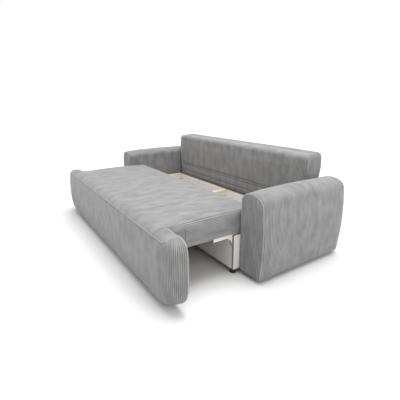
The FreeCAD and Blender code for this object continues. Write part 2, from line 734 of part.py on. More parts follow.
# Rows of shares: reach along the end, rise of the foot, drop of the top, set-back of the face
PANEL_END_SHARES = (
    (0.0, 0.0, 0.0, 0.0),
    (0.38, 0.13, 0.07, 0.09),
    (0.70, 0.38, 0.25, 0.31),
    (0.90, 0.68, 0.56, 0.62),
    (1.0, 1.0, 1.0, 1.0),
)
PANEL_FOOT_RISE = 190.0
PANEL_TOP_DROP = 95.0
PANEL_FACE_SETBACK = 72.0
PANEL_SPACER = 40.0       # width of the timbers between the panel's boards
PANEL_CAVITY = 46.0       # between the boards
PANEL_FACE_BOARD = 10.0
PANEL_CORE_LOW = 45.0
PANEL_CORE_TOP_PAD = 27.0
PANEL_CORE_SIDE_PAD = 55.0
PANEL_CORE_FOOT_RADIUS = 130.0
PANEL_CORE_TOP_RADIUS = 50.0
PANEL_SPACER_SHARES = (-0.85, -0.45, -0.15, 0.15, 0.45, 0.85)
PANEL_CORE_HALF = PANEL_HALF - PANEL_CORE_SIDE_PAD
PANEL_CORE_TOP = PANEL_TOP - PANEL_CORE_TOP_PAD
PANEL_CORE_FRONT = PANEL_BACK - PANEL_BOARD - PANEL_CAVITY - PANEL_FACE_BOARD


def panel_section(x, rise, drop, setback):
    low = (PANEL_FRONT + PANEL_CROWN + PANEL_FACE_SETBACK * setback, PANEL_CLEAR + PANEL_FOOT_RISE * rise)
    high = (PANEL_BACK, PANEL_TOP - PANEL_TOP_DROP * drop)
    thin = min(1.0, (high[0] - low[0]) / (PANEL_THICK - PANEL_CROWN))
    radii = (
        PANEL_FOOT_RADIUS * thin,
        PANEL_FOOT_BACK_RADIUS * thin,
        PANEL_BACK_RADIUS * thin,
        PANEL_FRONT_RADIUS * thin,
    )
    return section(lambda u, v: V(x, u, v), low, high, radii, (0, 0, 0, PANEL_CROWN * thin))


def panel_core(front, back, gap):
    """Board shape of the front panel: a long plate with rounded corners, between two depths."""
    half = PANEL_CORE_HALF + gap
    wire = section(
        lambda u, v: V(u, front, v),
        (-half, PANEL_CORE_LOW - gap),
        (half, PANEL_CORE_TOP + gap),
        (PANEL_CORE_FOOT_RADIUS, PANEL_CORE_FOOT_RADIUS, PANEL_CORE_TOP_RADIUS, PANEL_CORE_TOP_RADIUS),
        (0, 0, 0, 0),
    )
    return Part.Face(wire).extrude(Y_AXIS * (back - front))


def panel_upholstery():
    """Front panel's padding: crowned face, rounded top, ends that swell and draw in to the floor."""
    full = PANEL_HALF * PANEL_FULL_SHARE
    right = [
        panel_section(full + (PANEL_HALF - full) * reach, rise, drop, setback)
        for reach, rise, drop, setback in PANEL_END_SHARES
    ]
    left = [
        panel_section(-full - (PANEL_HALF - full) * reach, rise, drop, setback)
        for reach, rise, drop, setback in reversed(PANEL_END_SHARES)
    ]
    pad = loft(left + right).cut(panel_core(PANEL_CORE_FRONT - SEATED, PANEL_BACK + OVERRUN, SEATED))
    slots = [
        cuboid(
            (castor_x(share) - FORK_PLATE_HALF, castor_x(share) + FORK_PLATE_HALF),
            CAVITY_Y,
            (PANEL_CLEAR - OVERRUN, PANEL_CORE_LOW + OVERRUN),
        )
        for share in CASTOR_SHARES
    ]
    return pad.cut(Part.makeCompound(slots))


def panel_back_board():
    return panel_core(PANEL_BACK - PANEL_BOARD, PANEL_BACK, 0)


def panel_face_board():
    return panel_core(PANEL_CORE_FRONT, PANEL_CORE_FRONT + PANEL_FACE_BOARD, 0)


def panel_spacers():
    spacers = []
    for share in PANEL_SPACER_SHARES:
        x = PANEL_CORE_HALF * share
        spacers.append(
            cuboid((x - PANEL_SPACER / 2, x + PANEL_SPACER / 2), CAVITY_Y, (PANEL_CORE_LOW, PANEL_CORE_TOP))
        )
    return spacers


def castor_blocks():
    """Pine blocks between the panel's boards, which the castors are screwed to."""
    half = FORK_PLATE_HALF + CASTOR_BLOCK_SPARE
    return [
        cuboid(
            (castor_x(share) - half, castor_x(share) + half),
            CAVITY_Y,
            (FORK_PLATE_TOP, FORK_PLATE_TOP + CASTOR_BLOCK_HIGH),
        )
        for share in CASTOR_SHARES
    ]


# Castors, sunk in the foot of the front panel
WHEEL_HALF = 10.0         # half the wheel's width
AXLE_END = 1.0            # axle, out of the fork
AXLE_RADIUS = 4.0
FORK_STEEL = 2.5
FORK_GAP = 2.0            # fork to the wheel's sides
FORK_PLATE_HALF = 25.0
FORK_PLATE_TOP = 62.0
FORK_PLATE_INSET = 2.0    # plate to the panel's boards
FORK_EAR_REACH = 9.0      # ear, past the axle
CASTOR_BLOCK_SPARE = 8.0
CASTOR_BLOCK_HIGH = 50.0
CASTOR_SHARES = (-0.7, 0, 0.7)
CASTOR_NAMES = ("left", "centre", "right")
CAVITY_Y = (PANEL_CORE_FRONT + PANEL_FACE_BOARD, PANEL_BACK - PANEL_BOARD)
AXLE_Y = (CAVITY_Y[0] + CAVITY_Y[1]) / 2
FORK_INNER = WHEEL_HALF + FORK_GAP


def castor_x(share):
    return PANEL_HALF * share


def axle_cylinder(x, radius, start, end):
    return Part.makeCylinder(radius, end - start, V(x + start, AXLE_Y, WHEEL_RADIUS), X_AXIS)


def castor_fork(x):
    """Pressed steel fork: a plate under the castor block and two ears with clipped corners."""
    plate_low = FORK_PLATE_TOP - FORK_STEEL
    y0, y1 = CAVITY_Y[0] + FORK_PLATE_INSET, CAVITY_Y[1] - FORK_PLATE_INSET
    clip = FORK_EAR_REACH / 2
    fork = cuboid((x - FORK_PLATE_HALF, x + FORK_PLATE_HALF), (y0, y1), (plate_low, FORK_PLATE_TOP))
    for start in (-FORK_INNER - FORK_STEEL, FORK_INNER):
        ear = outline(
            [
                V(x + start, y0 + clip, plate_low),
                V(x + start, AXLE_Y - FORK_EAR_REACH, WHEEL_RADIUS),
                V(x + start, AXLE_Y - clip, WHEEL_RADIUS - FORK_EAR_REACH),
                V(x + start, AXLE_Y + clip, WHEEL_RADIUS - FORK_EAR_REACH),
                V(x + start, AXLE_Y + FORK_EAR_REACH, WHEEL_RADIUS),
                V(x + start, y1 - clip, plate_low),
            ],
            X_AXIS,
            FORK_STEEL,
        )
        fork = fork.fuse(ear)
    hole = axle_cylinder(x, AXLE_RADIUS, -FORK_PLATE_HALF, FORK_PLATE_HALF)
    return fork.removeSplitter().cut(hole)


def castor_axle(x):
    """Axle, riveted fast in both ears."""
    out = FORK_INNER + FORK_STEEL + AXLE_END
    return axle_cylinder(x, AXLE_RADIUS, -out, out)


def castor_wheel(x):
    """Moulded wheel, running on the axle."""
    wheel = axle_cylinder(x, WHEEL_RADIUS, -WHEEL_HALF, WHEEL_HALF)
    return wheel.cut(axle_cylinder(x, AXLE_RADIUS + RUNNING, -FORK_PLATE_HALF, FORK_PLATE_HALF))


def save(name, pieces):
    """Write one node: a single solid, or a group of separate ones."""
    pieces = pieces if isinstance(pieces, list) else [pieces]
    solids = [solid for piece in pieces for solid in piece.Solids]
    shape = solids[0] if len(solids) == 1 else Part.makeCompound(solids)
    if not shape.isValid():
        raise ValueError(name + " is not a valid shape")
    shape.exportStep("parts/" + name + ".step")
    print(name, len(solids), round(shape.Volume / 1000), "cm3")


def save_pair(name, pieces):
    """Write a right-hand node and its mirrored left-hand twin."""
    pieces = pieces if isinstance(pieces, list) else [pieces]
    save(name.replace("SIDE", "right"), pieces)
    save(name.replace("SIDE", "left"), [mirrored(piece) for piece in pieces])


def main():
    os.makedirs("parts", exist_ok=True)
    save_pair("chest_side_SIDE", chest_side())
    save("chest_front_board", chest_front_board())
    save("chest_back_board", chest_back_board())
    save("chest_rear_board", chest_rear_board())
    save("back_shelf", back_shelf())
    save("chest_floor", chest_floor())
    save("floor_bearers", floor_bearers())
    save_pair("cross_rail_SIDE", cross_rail(RAIL_OUTER))
    save("cross_rail_centre", cross_rail(RAIL_WIDE / 2))
    save("corner_blocks", corner_blocks())
    save("chest_feet", chest_feet())
    save_pair("arm_SIDE_upholstery", arm_upholstery())
    save_pair("arm_SIDE_frame", arm_frame())
    save_pair("arm_SIDE_base_board", arm_base_board())
    save("arm_bolts", arm_bolts())
    save("arm_glides", arm_glides())
    save("hinge_fixed_plates", both(fixed_plate()))
    save("hinge_pins", both(hinge_pin()))
    save("back_upholstery", back_upholstery())
    save("back_frame_rails", back_frame_rails())
    save("back_frame_posts", back_frame_posts())
    save("back_frame_panel", back_frame_panel())
    save("hinge_blocks", both(hinge_block()))
    save("hinge_turning_plates", both(turning_plate()))
    save("seat_upholstery", seat_upholstery())
    save("seat_frame_rails", seat_frame_rails())
    save("seat_frame_bars", seat_frame_bars())
    save("seat_base_board", seat_base_board())
    save("seat_springs", seat_springs())
    save_pair("seat_runner_SIDE", seat_runner())
    save("seat_stops", seat_stops())
    save("seat_glides", seat_glides())
    save("front_panel_upholstery", panel_upholstery())
    save("front_panel_back_board", panel_back_board())
    save("front_panel_face_board", panel_face_board())
    save("front_panel_spacers", panel_spacers())
    save("castor_blocks", castor_blocks())
    save("castor_forks", [castor_fork(castor_x(share)) for share in CASTOR_SHARES])
    save("castor_axles", [castor_axle(castor_x(share)) for share in CASTOR_SHARES])
    for name, share in zip(CASTOR_NAMES, CASTOR_SHARES):
        save("castor_wheel_" + name, castor_wheel(castor_x(share)))


main()
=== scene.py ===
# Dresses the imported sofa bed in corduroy, finishes its boards and fittings, and sets floor, light and camera.
import math
import bmesh
import bpy
import numpy as np
from mathutils import Matrix, Vector, noise
from mathutils.bvhtree import BVHTree


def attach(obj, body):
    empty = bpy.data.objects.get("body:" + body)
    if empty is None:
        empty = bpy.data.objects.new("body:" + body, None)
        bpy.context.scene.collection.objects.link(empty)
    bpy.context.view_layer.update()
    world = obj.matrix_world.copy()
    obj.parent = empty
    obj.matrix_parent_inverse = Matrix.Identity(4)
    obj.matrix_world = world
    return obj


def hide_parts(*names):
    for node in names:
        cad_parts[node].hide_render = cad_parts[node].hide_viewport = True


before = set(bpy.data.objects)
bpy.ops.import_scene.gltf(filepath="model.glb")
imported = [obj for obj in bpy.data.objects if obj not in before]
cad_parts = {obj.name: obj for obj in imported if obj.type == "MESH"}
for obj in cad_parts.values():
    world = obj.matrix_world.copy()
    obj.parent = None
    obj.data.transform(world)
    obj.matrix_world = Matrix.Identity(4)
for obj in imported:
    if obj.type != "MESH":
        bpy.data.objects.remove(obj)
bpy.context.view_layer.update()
scene = bpy.context.scene

# Sizes and places in metres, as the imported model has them
WALE = 0.0125
VOXEL_BIG = 0.017
VOXEL_ARM = 0.014
PUFF = 0.008
SLACK = 0.003
DEEPEST = 0.03
RESTING_BAND = 0.010
ARM_INNER = 1.0003
ARM_OUTER = 1.221
ARM_FRONT = -0.115
ARM_BACK = 0.790
ARM_FOOT = 0.030
BACK_END = 0.978
BACK_FRONT = 0.5651
BACK_REAR = 0.770
BACK_FOOT = 0.303
SEAT_END = 0.985
SEAT_REAR = 0.060
SEAT_TOP = 0.465
SEAT_FOOT = 0.312
PANEL_END = 1.225
PANEL_FRONT = -0.790
PANEL_REAR = -0.675
PANEL_DEPTH = 0.115
PANEL_FOOT = 0.028
SEAM_END = 1.085
SEAM_Y = -0.776
SEAM_Z = 0.450

# How far the covers crease, swell, rise and sink
PUCKER = 0.0030
ARM_FOLD = 0.0045
BACK_CREASE = 0.0032
SEAT_CREASE = 0.0040
BACK_REAR_SWELL = 0.010
BACK_TOP_RISE = 0.018
BACK_TOP_RISE_RIGHT = 0.007
BACK_SEAM_DEPTH = 0.0034
SEAT_CROWN = 0.015
HINGE_LIFT = 0.005
FOOT_SWELL = 0.010
CORNER_FILL_RIGHT = 0.016
CORNER_FILL_LEFT = -0.002
CORNER_DRAW = 0.009

# Room for the frames, hinges and castors: two corners, or reaches from the middle, depths and levels
ARM_ROOM = ((1.0118, 1.1872), (-0.0832, 0.7582), (0.0, 0.5602))
BACK_ROOM = ((-0.9499, 0.6398, 0.3100), (0.9499, 0.6902, 0.7600))
HINGE_ROOM = ((0.9553, 1.02), (0.6048, 0.6902), (0.25, 0.3982))
SEAT_ROOM = ((-0.9802, -0.6735, 0.25), (0.9802, 0.0551, 0.3612))
CASTOR_ROOM = ((-0.025, -0.737, 0.0), (0.025, -0.691, 0.06))
CASTOR_PLACES = (-0.8575, 0.0, 0.8575)

# The bolster's rounded end in plan: its hub, its start, how far it goes, and shares of that on the way
TURN_HUB = 1.075
CORNER_START = 1.0964
CORNER_REACH = 0.1286
CORNER_SETBACK = 0.072
CORNER_SHARES = ((0.0, 0.0), (0.38, 0.09), (0.70, 0.31), (0.90, 0.62), (1.0, 1.0))
CORNER_SETBACKS = (0.0, 0.0065, 0.0223, 0.0446, CORNER_SETBACK)


# Node trees
def feed(tree, socket, value):
    """Joins an input to another node, or sets its value."""
    if isinstance(value, bpy.types.NodeSocket):
        tree.links.new(value, socket)
    else:
        socket.default_value = value


def place(tree, kind, links=None, **values):
    """Adds a node, sets its own values, then feeds its inputs."""
    node = tree.nodes.new(kind)
    for name, value in values.items():
        setattr(node, name, value)
    for name, source in (links or {}).items():
        feed(tree, node.inputs[name], source)
    return node


def group(name, inputs, outputs):
    """An empty shader group with named sockets."""
    tree = bpy.data.node_groups.new(name, "ShaderNodeTree")
    kinds = {"value": "NodeSocketFloat", "colour": "NodeSocketColor", "vector": "NodeSocketVector"}
    for way, sockets in (("INPUT", inputs), ("OUTPUT", outputs)):
        for label, kind in sockets.items():
            tree.interface.new_socket(name=label, in_out=way, socket_type=kinds[kind])
    return tree, tree.nodes.new("NodeGroupInput").outputs, tree.nodes.new("NodeGroupOutput").inputs


def give(tree, out, results):
    for label, value in results.items():
        tree.links.new(value, out[label])
    return tree


def arithmetic(tree, operation, *values):
    return place(tree, "ShaderNodeMath", dict(enumerate(values)), operation=operation).outputs[0]


def blend_colours(tree, factor, first, second):
    mix = place(tree, "ShaderNodeMix", {0: factor, 6: first, 7: second}, data_type="RGBA")
    return mix.outputs[2]


def scaled(tree, colour, amount):
    return place(tree, "ShaderNodeVectorMath", {0: colour, "Scale": amount}, operation="SCALE").outputs[0]


def span(tree, value, low, high, to_low=0.0, to_high=1.0):
    """Maps a value from one range to another, held at its ends."""
    limits = {0: value, 1: low, 2: high, 3: to_low, 4: to_high}
    return place(tree, "ShaderNodeMapRange", limits, clamp=True).outputs[0]


def grain(tree, where, scale, detail=2.0):
    """Soft noise at a place, with its cells stretched where the scale has three parts."""
    if isinstance(scale, tuple):
        where = place(tree, "ShaderNodeMapping", {"Vector": where, "Scale": scale}).outputs[0]
        scale = 1.0
    return place(tree, "ShaderNodeTexNoise", {"Vector": where, "Scale": scale, "Detail": detail}).outputs[0]


def corduroy_group():
    """Rounded wales from a cloth map, with brushed patches and streaks in the pile."""
    tree, given, out = group(
        "corduroy_wales",
        {"Cloth": "vector", "Place": "vector", "Wale": "value"},
        {"Rib": "value", "Streak": "value", "Brushed": "value", "Height": "value"},
    )
    across = place(tree, "ShaderNodeSeparateXYZ", {"Vector": given["Cloth"]}).outputs["X"]
    turn = arithmetic(tree, "DIVIDE", across, given["Wale"])
    wave = arithmetic(tree, "COSINE", arithmetic(tree, "MULTIPLY", turn, math.tau))
    raised = arithmetic(tree, "MULTIPLY_ADD", wave, 0.5, 0.5)
    rib = arithmetic(tree, "POWER", raised, 0.55)
    fibres = grain(tree, given["Place"], 900.0, 1.0)
    return give(tree, out, {
        "Rib": rib,
        "Streak": grain(tree, given["Cloth"], (160.0, 5.0, 1.0)),
        "Brushed": span(tree, grain(tree, given["Cloth"], (17.0, 7.5, 1.0), 4.0), 0.36, 0.66),
        "Height": arithmetic(tree, "MULTIPLY_ADD", fibres, 0.18, rib),
    })


CORDUROY = corduroy_group()
SHEEN_ROUGHNESS = 0.35


def material(name, rough, metal=0.0, sheen=0.0):
    made = bpy.data.materials.new(name)
    made.use_nodes = True
    tree = made.node_tree
    shader = tree.nodes["Principled BSDF"]
    shader.inputs["Roughness"].default_value = rough
    shader.inputs["Metallic"].default_value = metal
    if sheen:
        shader.inputs["Sheen Weight"].default_value = sheen
        shader.inputs["Sheen Roughness"].default_value = SHEEN_ROUGHNESS
    return made, tree, shader.inputs


def object_place(tree):
    return tree.nodes.new("ShaderNodeTexCoord").outputs["Object"]


def bump(tree, shader, height, strength, distance):
    node = place(tree, "ShaderNodeBump", {"Height": height, "Strength": strength, "Distance": distance})
    tree.links.new(node.outputs[0], shader["Normal"])


def corduroy(name, light, dark, flat):
    """The cover cloth: pale pile on the wales, valleys darkened with painted shade, flatter where it is drawn
    tight.
    """
    made, tree, shader = material(name, 0.88, sheen=0.35)
    shader["Specular IOR Level"].default_value = 0.15
    cloth = place(tree, "ShaderNodeUVMap", uv_map="cloth").outputs[0]
    laid = {"Cloth": cloth, "Place": object_place(tree), "Wale": WALE}
    wales = place(tree, "ShaderNodeGroup", laid, node_tree=CORDUROY).outputs
    pressed = place(tree, "ShaderNodeAttribute", attribute_name="pressed").outputs["Fac"]
    # The valley colour is painted shade in the grooves between the wales.
    ribbed = blend_colours(tree, wales["Rib"], dark, light)
    shade = span(tree, wales["Streak"], 0.30, 0.70, 0.90, 1.09)
    brushed = span(tree, wales["Brushed"], 0.0, 1.0, 0.84, 1.11)
    tone = arithmetic(tree, "MULTIPLY", shade, brushed)
    toned = scaled(tree, blend_colours(tree, pressed, ribbed, flat), tone)
    tree.links.new(toned, shader["Base Color"])
    bump(tree, shader, wales["Height"], span(tree, pressed, 0.0, 1.0, 0.7, 0.2), 0.0022)
    return made


PILE = (0.278, 0.276, 0.274, 1.0)
# Painted shade: the valley colour darkens the grooves between the wales.
VALLEY_SHADE = (0.119, 0.118, 0.117, 1.0)
FLAT_PILE = (0.245, 0.243, 0.241, 1.0)
COVER_CLOTH = corduroy("grey_corduroy", PILE, VALLEY_SHADE, FLAT_PILE)


# Soft covers
def pad_block(*nodes):
    """The outer form of one or more pads as one closed block."""
    block = bmesh.new()
    for name in nodes:
        block.from_mesh(bpy.data.objects[name].data)
    hull = bmesh.ops.convex_hull(block, input=block.verts)
    loose = [v for v in hull["geom_interior"] + hull["geom_unused"] if isinstance(v, bmesh.types.BMVert)]
    bmesh.ops.delete(block, geom=list(set(loose)), context="VERTS")
    outer = {f for f in hull["geom"] if isinstance(f, bmesh.types.BMFace) and f.is_valid}
    stray = [f for f in block.faces if f not in outer]
    bmesh.ops.delete(block, geom=stray, context="FACES")
    bmesh.ops.remove_doubles(block, verts=block.verts, dist=0.0001)
    bmesh.ops.recalc_face_normals(block, faces=block.faces)
    return block


def as_object(name, block):
    mesh = bpy.data.meshes.new(name)
    block.to_mesh(mesh)
    block.free()
    made = bpy.data.objects.new(name, mesh)
    scene.collection.objects.link(made)
    return made


def applied(piece):
    """The piece with all its modifiers made part of its mesh."""
    evaluated = piece.evaluated_get(bpy.context.evaluated_depsgraph_get())
    mesh = bpy.data.meshes.new_from_object(evaluated)
    piece.modifiers.clear()
    old = piece.data
    piece.data = mesh
    bpy.data.meshes.remove(old)
    mesh.name = piece.name
    return piece


def join_blocks(name, blocks):
    whole = bmesh.new()
    for block in blocks:
        mesh = bpy.data.meshes.new("part_block")
        block.to_mesh(mesh)
        block.free()
        whole.from_mesh(mesh)
        bpy.data.meshes.remove(mesh)
    return as_object(name, whole)


def crate(low, high):
    """A plain block between two corners."""
    block = bmesh.new()
    bmesh.ops.create_cube(block, size=1.0)
    size = [b - a for a, b in zip(low, high)]
    middle = [(a + b) / 2 for a, b in zip(low, high)]
    bmesh.ops.scale(block, vec=size, verts=block.verts)
    bmesh.ops.translate(block, vec=middle, verts=block.verts)
    return block


def remeshed(piece, size):
    change = piece.modifiers.new("even_mesh", "REMESH")
    change.mode = "VOXEL"
    change.voxel_size = size
    return applied(piece)


def coordinates(mesh):
    values = np.empty(len(mesh.vertices) * 3)
    mesh.vertices.foreach_get("co", values)
    return values.reshape(-1, 3)


def normals(mesh):
    values = np.empty(len(mesh.vertices) * 3, dtype=np.float32)
    mesh.vertices.foreach_get("normal", values)
    return values.reshape(-1, 3)


def put_back(mesh, values):
    mesh.vertices.foreach_set("co", values.reshape(-1))
    mesh.update()


def puffed(piece, held, cap, frames=16):
    """Swells a cover under pressure while its resting faces stay, and caps how far any point goes."""
    start = coordinates(piece.data)
    keep = piece.vertex_groups.new(name="held")
    keep.add([int(i) for i in np.nonzero(held(start, normals(piece.data)))[0]], 1.0, "REPLACE")
    change = piece.modifiers.new("cover", "CLOTH")
    cloth = change.settings
    cloth.quality = 4
    cloth.mass = 0.3
    cloth.tension_stiffness = 15.0
    cloth.compression_stiffness = 15.0
    cloth.shear_stiffness = 5.0
    cloth.bending_stiffness = 0.8
    cloth.use_pressure = True
    cloth.uniform_pressure_force = 4.0
    cloth.vertex_group_mass = "held"
    cloth.effector_weights.gravity = 0.0
    change.collision_settings.use_collision = False
    change.point_cache.frame_start = 1
    change.point_cache.frame_end = frames
    for number in range(1, frames + 1):
        scene.frame_set(number)
    evaluated = piece.evaluated_get(bpy.context.evaluated_depsgraph_get())
    swollen = coordinates(evaluated.data)
    piece.modifiers.clear()
    move = swollen - start
    far = np.linalg.norm(move, axis=1)
    kept = np.tanh(far / cap) * cap / np.maximum(far, 1e-9)
    put_back(piece.data, start + move * kept[:, None])
    scene.frame_set(1)
    piece.vertex_groups.clear()
    return piece


def rounder(piece):
    change = piece.modifiers.new("finer", "SUBSURF")
    change.levels = change.render_levels = 1
    return applied(piece)


def share(values, low, high):
    """How far each value lies on the way from low to high, from nothing to one."""
    return np.clip((values - low) / (high - low), 0.0, 1.0)


def eased_share(values, low, high):
    """The same share with soft ends."""
    part = share(values, low, high)
    return part * part * (3.0 - 2.0 * part)


def ramp(value, length, least=0.0):
    """A single value's share of a length, held between the least share and one."""
    return min(1.0, max(least, value / length))


def hump(value, middle, width):
    return np.exp(-(((value - middle) / width) ** 2))


def side_room(side, reach, depth, level):
    """Opposite corners of a room on one side of the middle."""
    left, right = sorted((side * reach[0], side * reach[1]))
    return (left, depth[0], level[0]), (right, depth[1], level[1])


def tree_of(block):
    tree = BVHTree.FromBMesh(block)
    block.free()
    return tree


def kept_near(piece, trees, least, most, free=None):
    """Holds each point between two heights over the nearest pad; a free point may stand higher."""
    points = coordinates(piece.data)
    for index, point in enumerate(points):
        spot = Vector(point)
        nearest = None
        for tree in trees:
            where, facing, _, _ = tree.find_nearest(spot)
            height = (spot - where).length
            inward = (spot - where).dot(facing) < -0.7 * height
            if inward and height < DEEPEST:
                height = -height
            if nearest is None or height < nearest[0]:
                nearest = (height, where, facing)
        height, where, facing = nearest
        if height < least:
            points[index] = where + facing * least
        elif height > most and not (free is not None and free(point)):
            points[index] = spot - (spot - where).normalized() * (height - most)
    put_back(piece.data, points)
    return piece


def creased(piece, scale, depth, where):
    """Pushes soft creases into the cover, along its own normals."""
    points = coordinates(piece.data)
    out = normals(piece.data)
    for index, point in enumerate(points):
        amount = where(point, out[index])
        if amount <= 0.0:
            continue
        swing = noise.noise(Vector((point[0] * scale[0], point[1] * scale[1], point[2] * scale[2])))
        points[index] = point + out[index] * (swing * depth * amount)
    put_back(piece.data, points)
    return piece


def fused(piece, block, way):
    """Adds a block to the piece or cuts it away, as one clean solid."""
    other = as_object("fused_block", block)
    change = piece.modifiers.new("fused", "BOOLEAN")
    change.operation = way
    change.solver = "EXACT"
    change.object = other
    applied(piece)
    old = other.data
    bpy.data.objects.remove(other)
    bpy.data.meshes.remove(old)
    return piece


def hollowed(piece, rooms, cores=()):
    """Cuts the rooms that the frame inside takes."""
    for low, high in rooms:
        fused(piece, crate(low, high), "DIFFERENCE")
    for core in cores:
        fused(piece, core, "DIFFERENCE")
    return piece


def smooth_faces(mesh, sharp=0.6):
    mesh.polygons.foreach_set("use_smooth", [True] * len(mesh.polygons))
    mesh.set_sharp_from_angle(angle=sharp)


def cloth_map(piece, lay):
    """Writes the cloth map: across the wales first, along them second, in metres."""
    mesh = piece.data
    points = coordinates(mesh)
    count = len(mesh.polygons)
    middle = np.empty(count * 3)
    mesh.polygons.foreach_get("center", middle)
    facing = np.empty(count * 3)
    mesh.polygons.foreach_get("normal", facing)
    middle = middle.reshape(-1, 3)
    facing = facing.reshape(-1, 3)
    totals = np.empty(count, dtype=np.int64)
    mesh.polygons.foreach_get("loop_total", totals)
    owner = np.repeat(np.arange(count), totals)
    corner = np.empty(len(mesh.loops), dtype=np.int64)
    mesh.loops.foreach_get("vertex_index", corner)
    across, along = lay(points[corner], middle[owner], facing[owner])
    layer = mesh.uv_layers.new(name="cloth")
    layer.data.foreach_set("uv", np.stack([across, along], axis=1).reshape(-1))


def finish_cover(piece, node_names, body):
    smooth_faces(piece.data)
    piece.data.materials.clear()
    piece.data.materials.append(COVER_CLOTH)
    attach(piece, body)
    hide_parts(*node_names)
    return piece


# Arms
def arm_cover(side):
    name = "left" if side < 0 else "right"
    pad = "arm_%s_upholstery" % name
    piece = as_object("arm_%s_cover" % name, pad_block(pad))
    remeshed(piece, VOXEL_ARM)

    def resting(point, out):
        inner = np.abs(point[:, 0]) < ARM_INNER + RESTING_BAND
        return inner | (point[:, 2] < ARM_FOOT + RESTING_BAND)

    points = coordinates(piece.data)
    draw_in = normals(piece.data) * SLACK
    draw_in[resting(points, None)] = 0.0
    put_back(piece.data, points - draw_in)
    puffed(piece, resting, PUFF)
    rounder(piece)
    kept_near(piece, [tree_of(pad_block(pad))], 0.0, 0.004)

    def puckered(point, out):
        near_front = 1.0 - (point[1] - ARM_FRONT) / 0.20
        near_back = 1.0 - (ARM_BACK - point[1]) / 0.15
        return max(near_front, near_back, 0.25) * (point[2] > 0.08)

    creased(piece, (9.0, 14.0, 5.0), PUCKER, puckered)

    def folded(point, out):
        """A loose upright fold low on the front, and a faint slanting one above it."""
        if out[1] >= -0.6:
            return 0.0
        across = abs(point[0])
        upright = hump(across, 1.133, 0.012) * ramp(min(point[2] - 0.10, 0.33 - point[2]), 0.06)
        slanting = 0.4 * hump(point[2] - 0.25 * (across - 1.1), 0.47, 0.020)
        return max(upright, slanting * ramp(min(across - 1.03, 1.19 - across), 0.04))

    points = coordinates(piece.data)
    for index, out in enumerate(normals(piece.data)):
        points[index] -= out * (ARM_FOLD * folded(points[index], out))
    points[:, 0] = np.where(np.abs(points[:, 0]) < ARM_INNER, side * ARM_INNER, points[:, 0])
    points[:, 2] = np.maximum(points[:, 2], ARM_FOOT)
    put_back(piece.data, points)
    hollowed(piece, [side_room(side, *ARM_ROOM)])

    def lay(point, middle, facing):
        """Lays the cloth round the arm, without a break at its upright edges."""
        reach = np.abs(point[:, 0])
        front = -0.112
        round_back = 2.120
        outer = point[:, 1] - front + ARM_OUTER
        across = np.where(facing[:, 0] * side < -0.5, ARM_INNER - (point[:, 1] - front), outer)
        across = np.where(facing[:, 1] < -0.90, reach, across)
        across = np.where(facing[:, 1] > 0.90, round_back + (ARM_OUTER - reach), across)
        along = np.where(np.abs(facing[:, 2]) > 0.7, point[:, 0], point[:, 2])
        return across * side, along

    cloth_map(piece, lay)
    return finish_cover(piece, [pad], "base")


# Backrest
def fuller_backrest(points):
    """Fills out the ends and the top's rear edge, and sinks the seamed bands of the face."""
    x, y, z = points.T
    x[:] = np.clip(x, -BACK_END, BACK_END)
    for wider, low, high in ((0.0085, 0.40, 0.50), (0.0070, 0.54, 0.66)):
        x *= 1.0 + wider * eased_share(z, low, high)
    top = eased_share(z, 0.72, 0.80) * eased_share(y, 0.67, 0.745)
    tall = BACK_TOP_RISE + BACK_TOP_RISE_RIGHT * eased_share(x, -0.6, 0.9)
    z += tall * top * (1.0 - 0.2 * np.abs(x / 0.98) ** 10)
    back = eased_share(z, 0.40, 0.60) * eased_share(y, 0.70, 0.76)
    y[:] = np.clip(y, BACK_FRONT, BACK_REAR) + BACK_REAR_SWELL * back
    sunk = eased_share(z, 0.424, 0.434) * eased_share(-z, -0.474, -0.464)
    sunk = np.maximum(sunk, hump(z, 0.369, 0.009))
    y += BACK_SEAM_DEPTH * sunk * (y < 0.60)
    end = eased_share(np.abs(x), 0.935, 0.972) * eased_share(z, 0.60, 0.70)
    behind = eased_share(y, 0.725, 0.765)
    x += np.sign(x) * end * (0.006 * behind + 0.005 * eased_share(-y, -0.60, -0.572))
    y += end * 0.009 * behind
    z += end * 0.008 * behind * eased_share(z, 0.755, 0.795)
    z[:] = np.maximum(z, BACK_FOOT)
    return points


def backrest_cover():
    piece = as_object("backrest_cover", pad_block("back_upholstery"))
    remeshed(piece, VOXEL_BIG)
    put_back(piece.data, coordinates(piece.data) - normals(piece.data) * SLACK)
    puffed(piece, lambda point, out: point[:, 2] < 0.32, PUFF)
    rounder(piece)
    kept_near(piece, [tree_of(pad_block("back_upholstery"))], 0.0, 0.005)

    def handled(point, out):
        return ramp(point[2] - 0.33, 0.03) * ramp(0.79 - point[2], 0.06, 0.08)

    creased(piece, (6.0, 6.0, 3.5), BACK_CREASE, handled)
    put_back(piece.data, fuller_backrest(coordinates(piece.data)))
    hollowed(piece, [BACK_ROOM] + [side_room(side, *HINGE_ROOM) for side in (-1, 1)])

    def lay(point, middle, facing):
        across = np.where(np.abs(facing[:, 0]) > 0.72, point[:, 1], point[:, 0])
        along = np.where(np.abs(facing[:, 2]) > 0.7, point[:, 1], point[:, 2])
        return across, along

    cloth_map(piece, lay)
    return finish_cover(piece, ["back_upholstery"], "backrest")


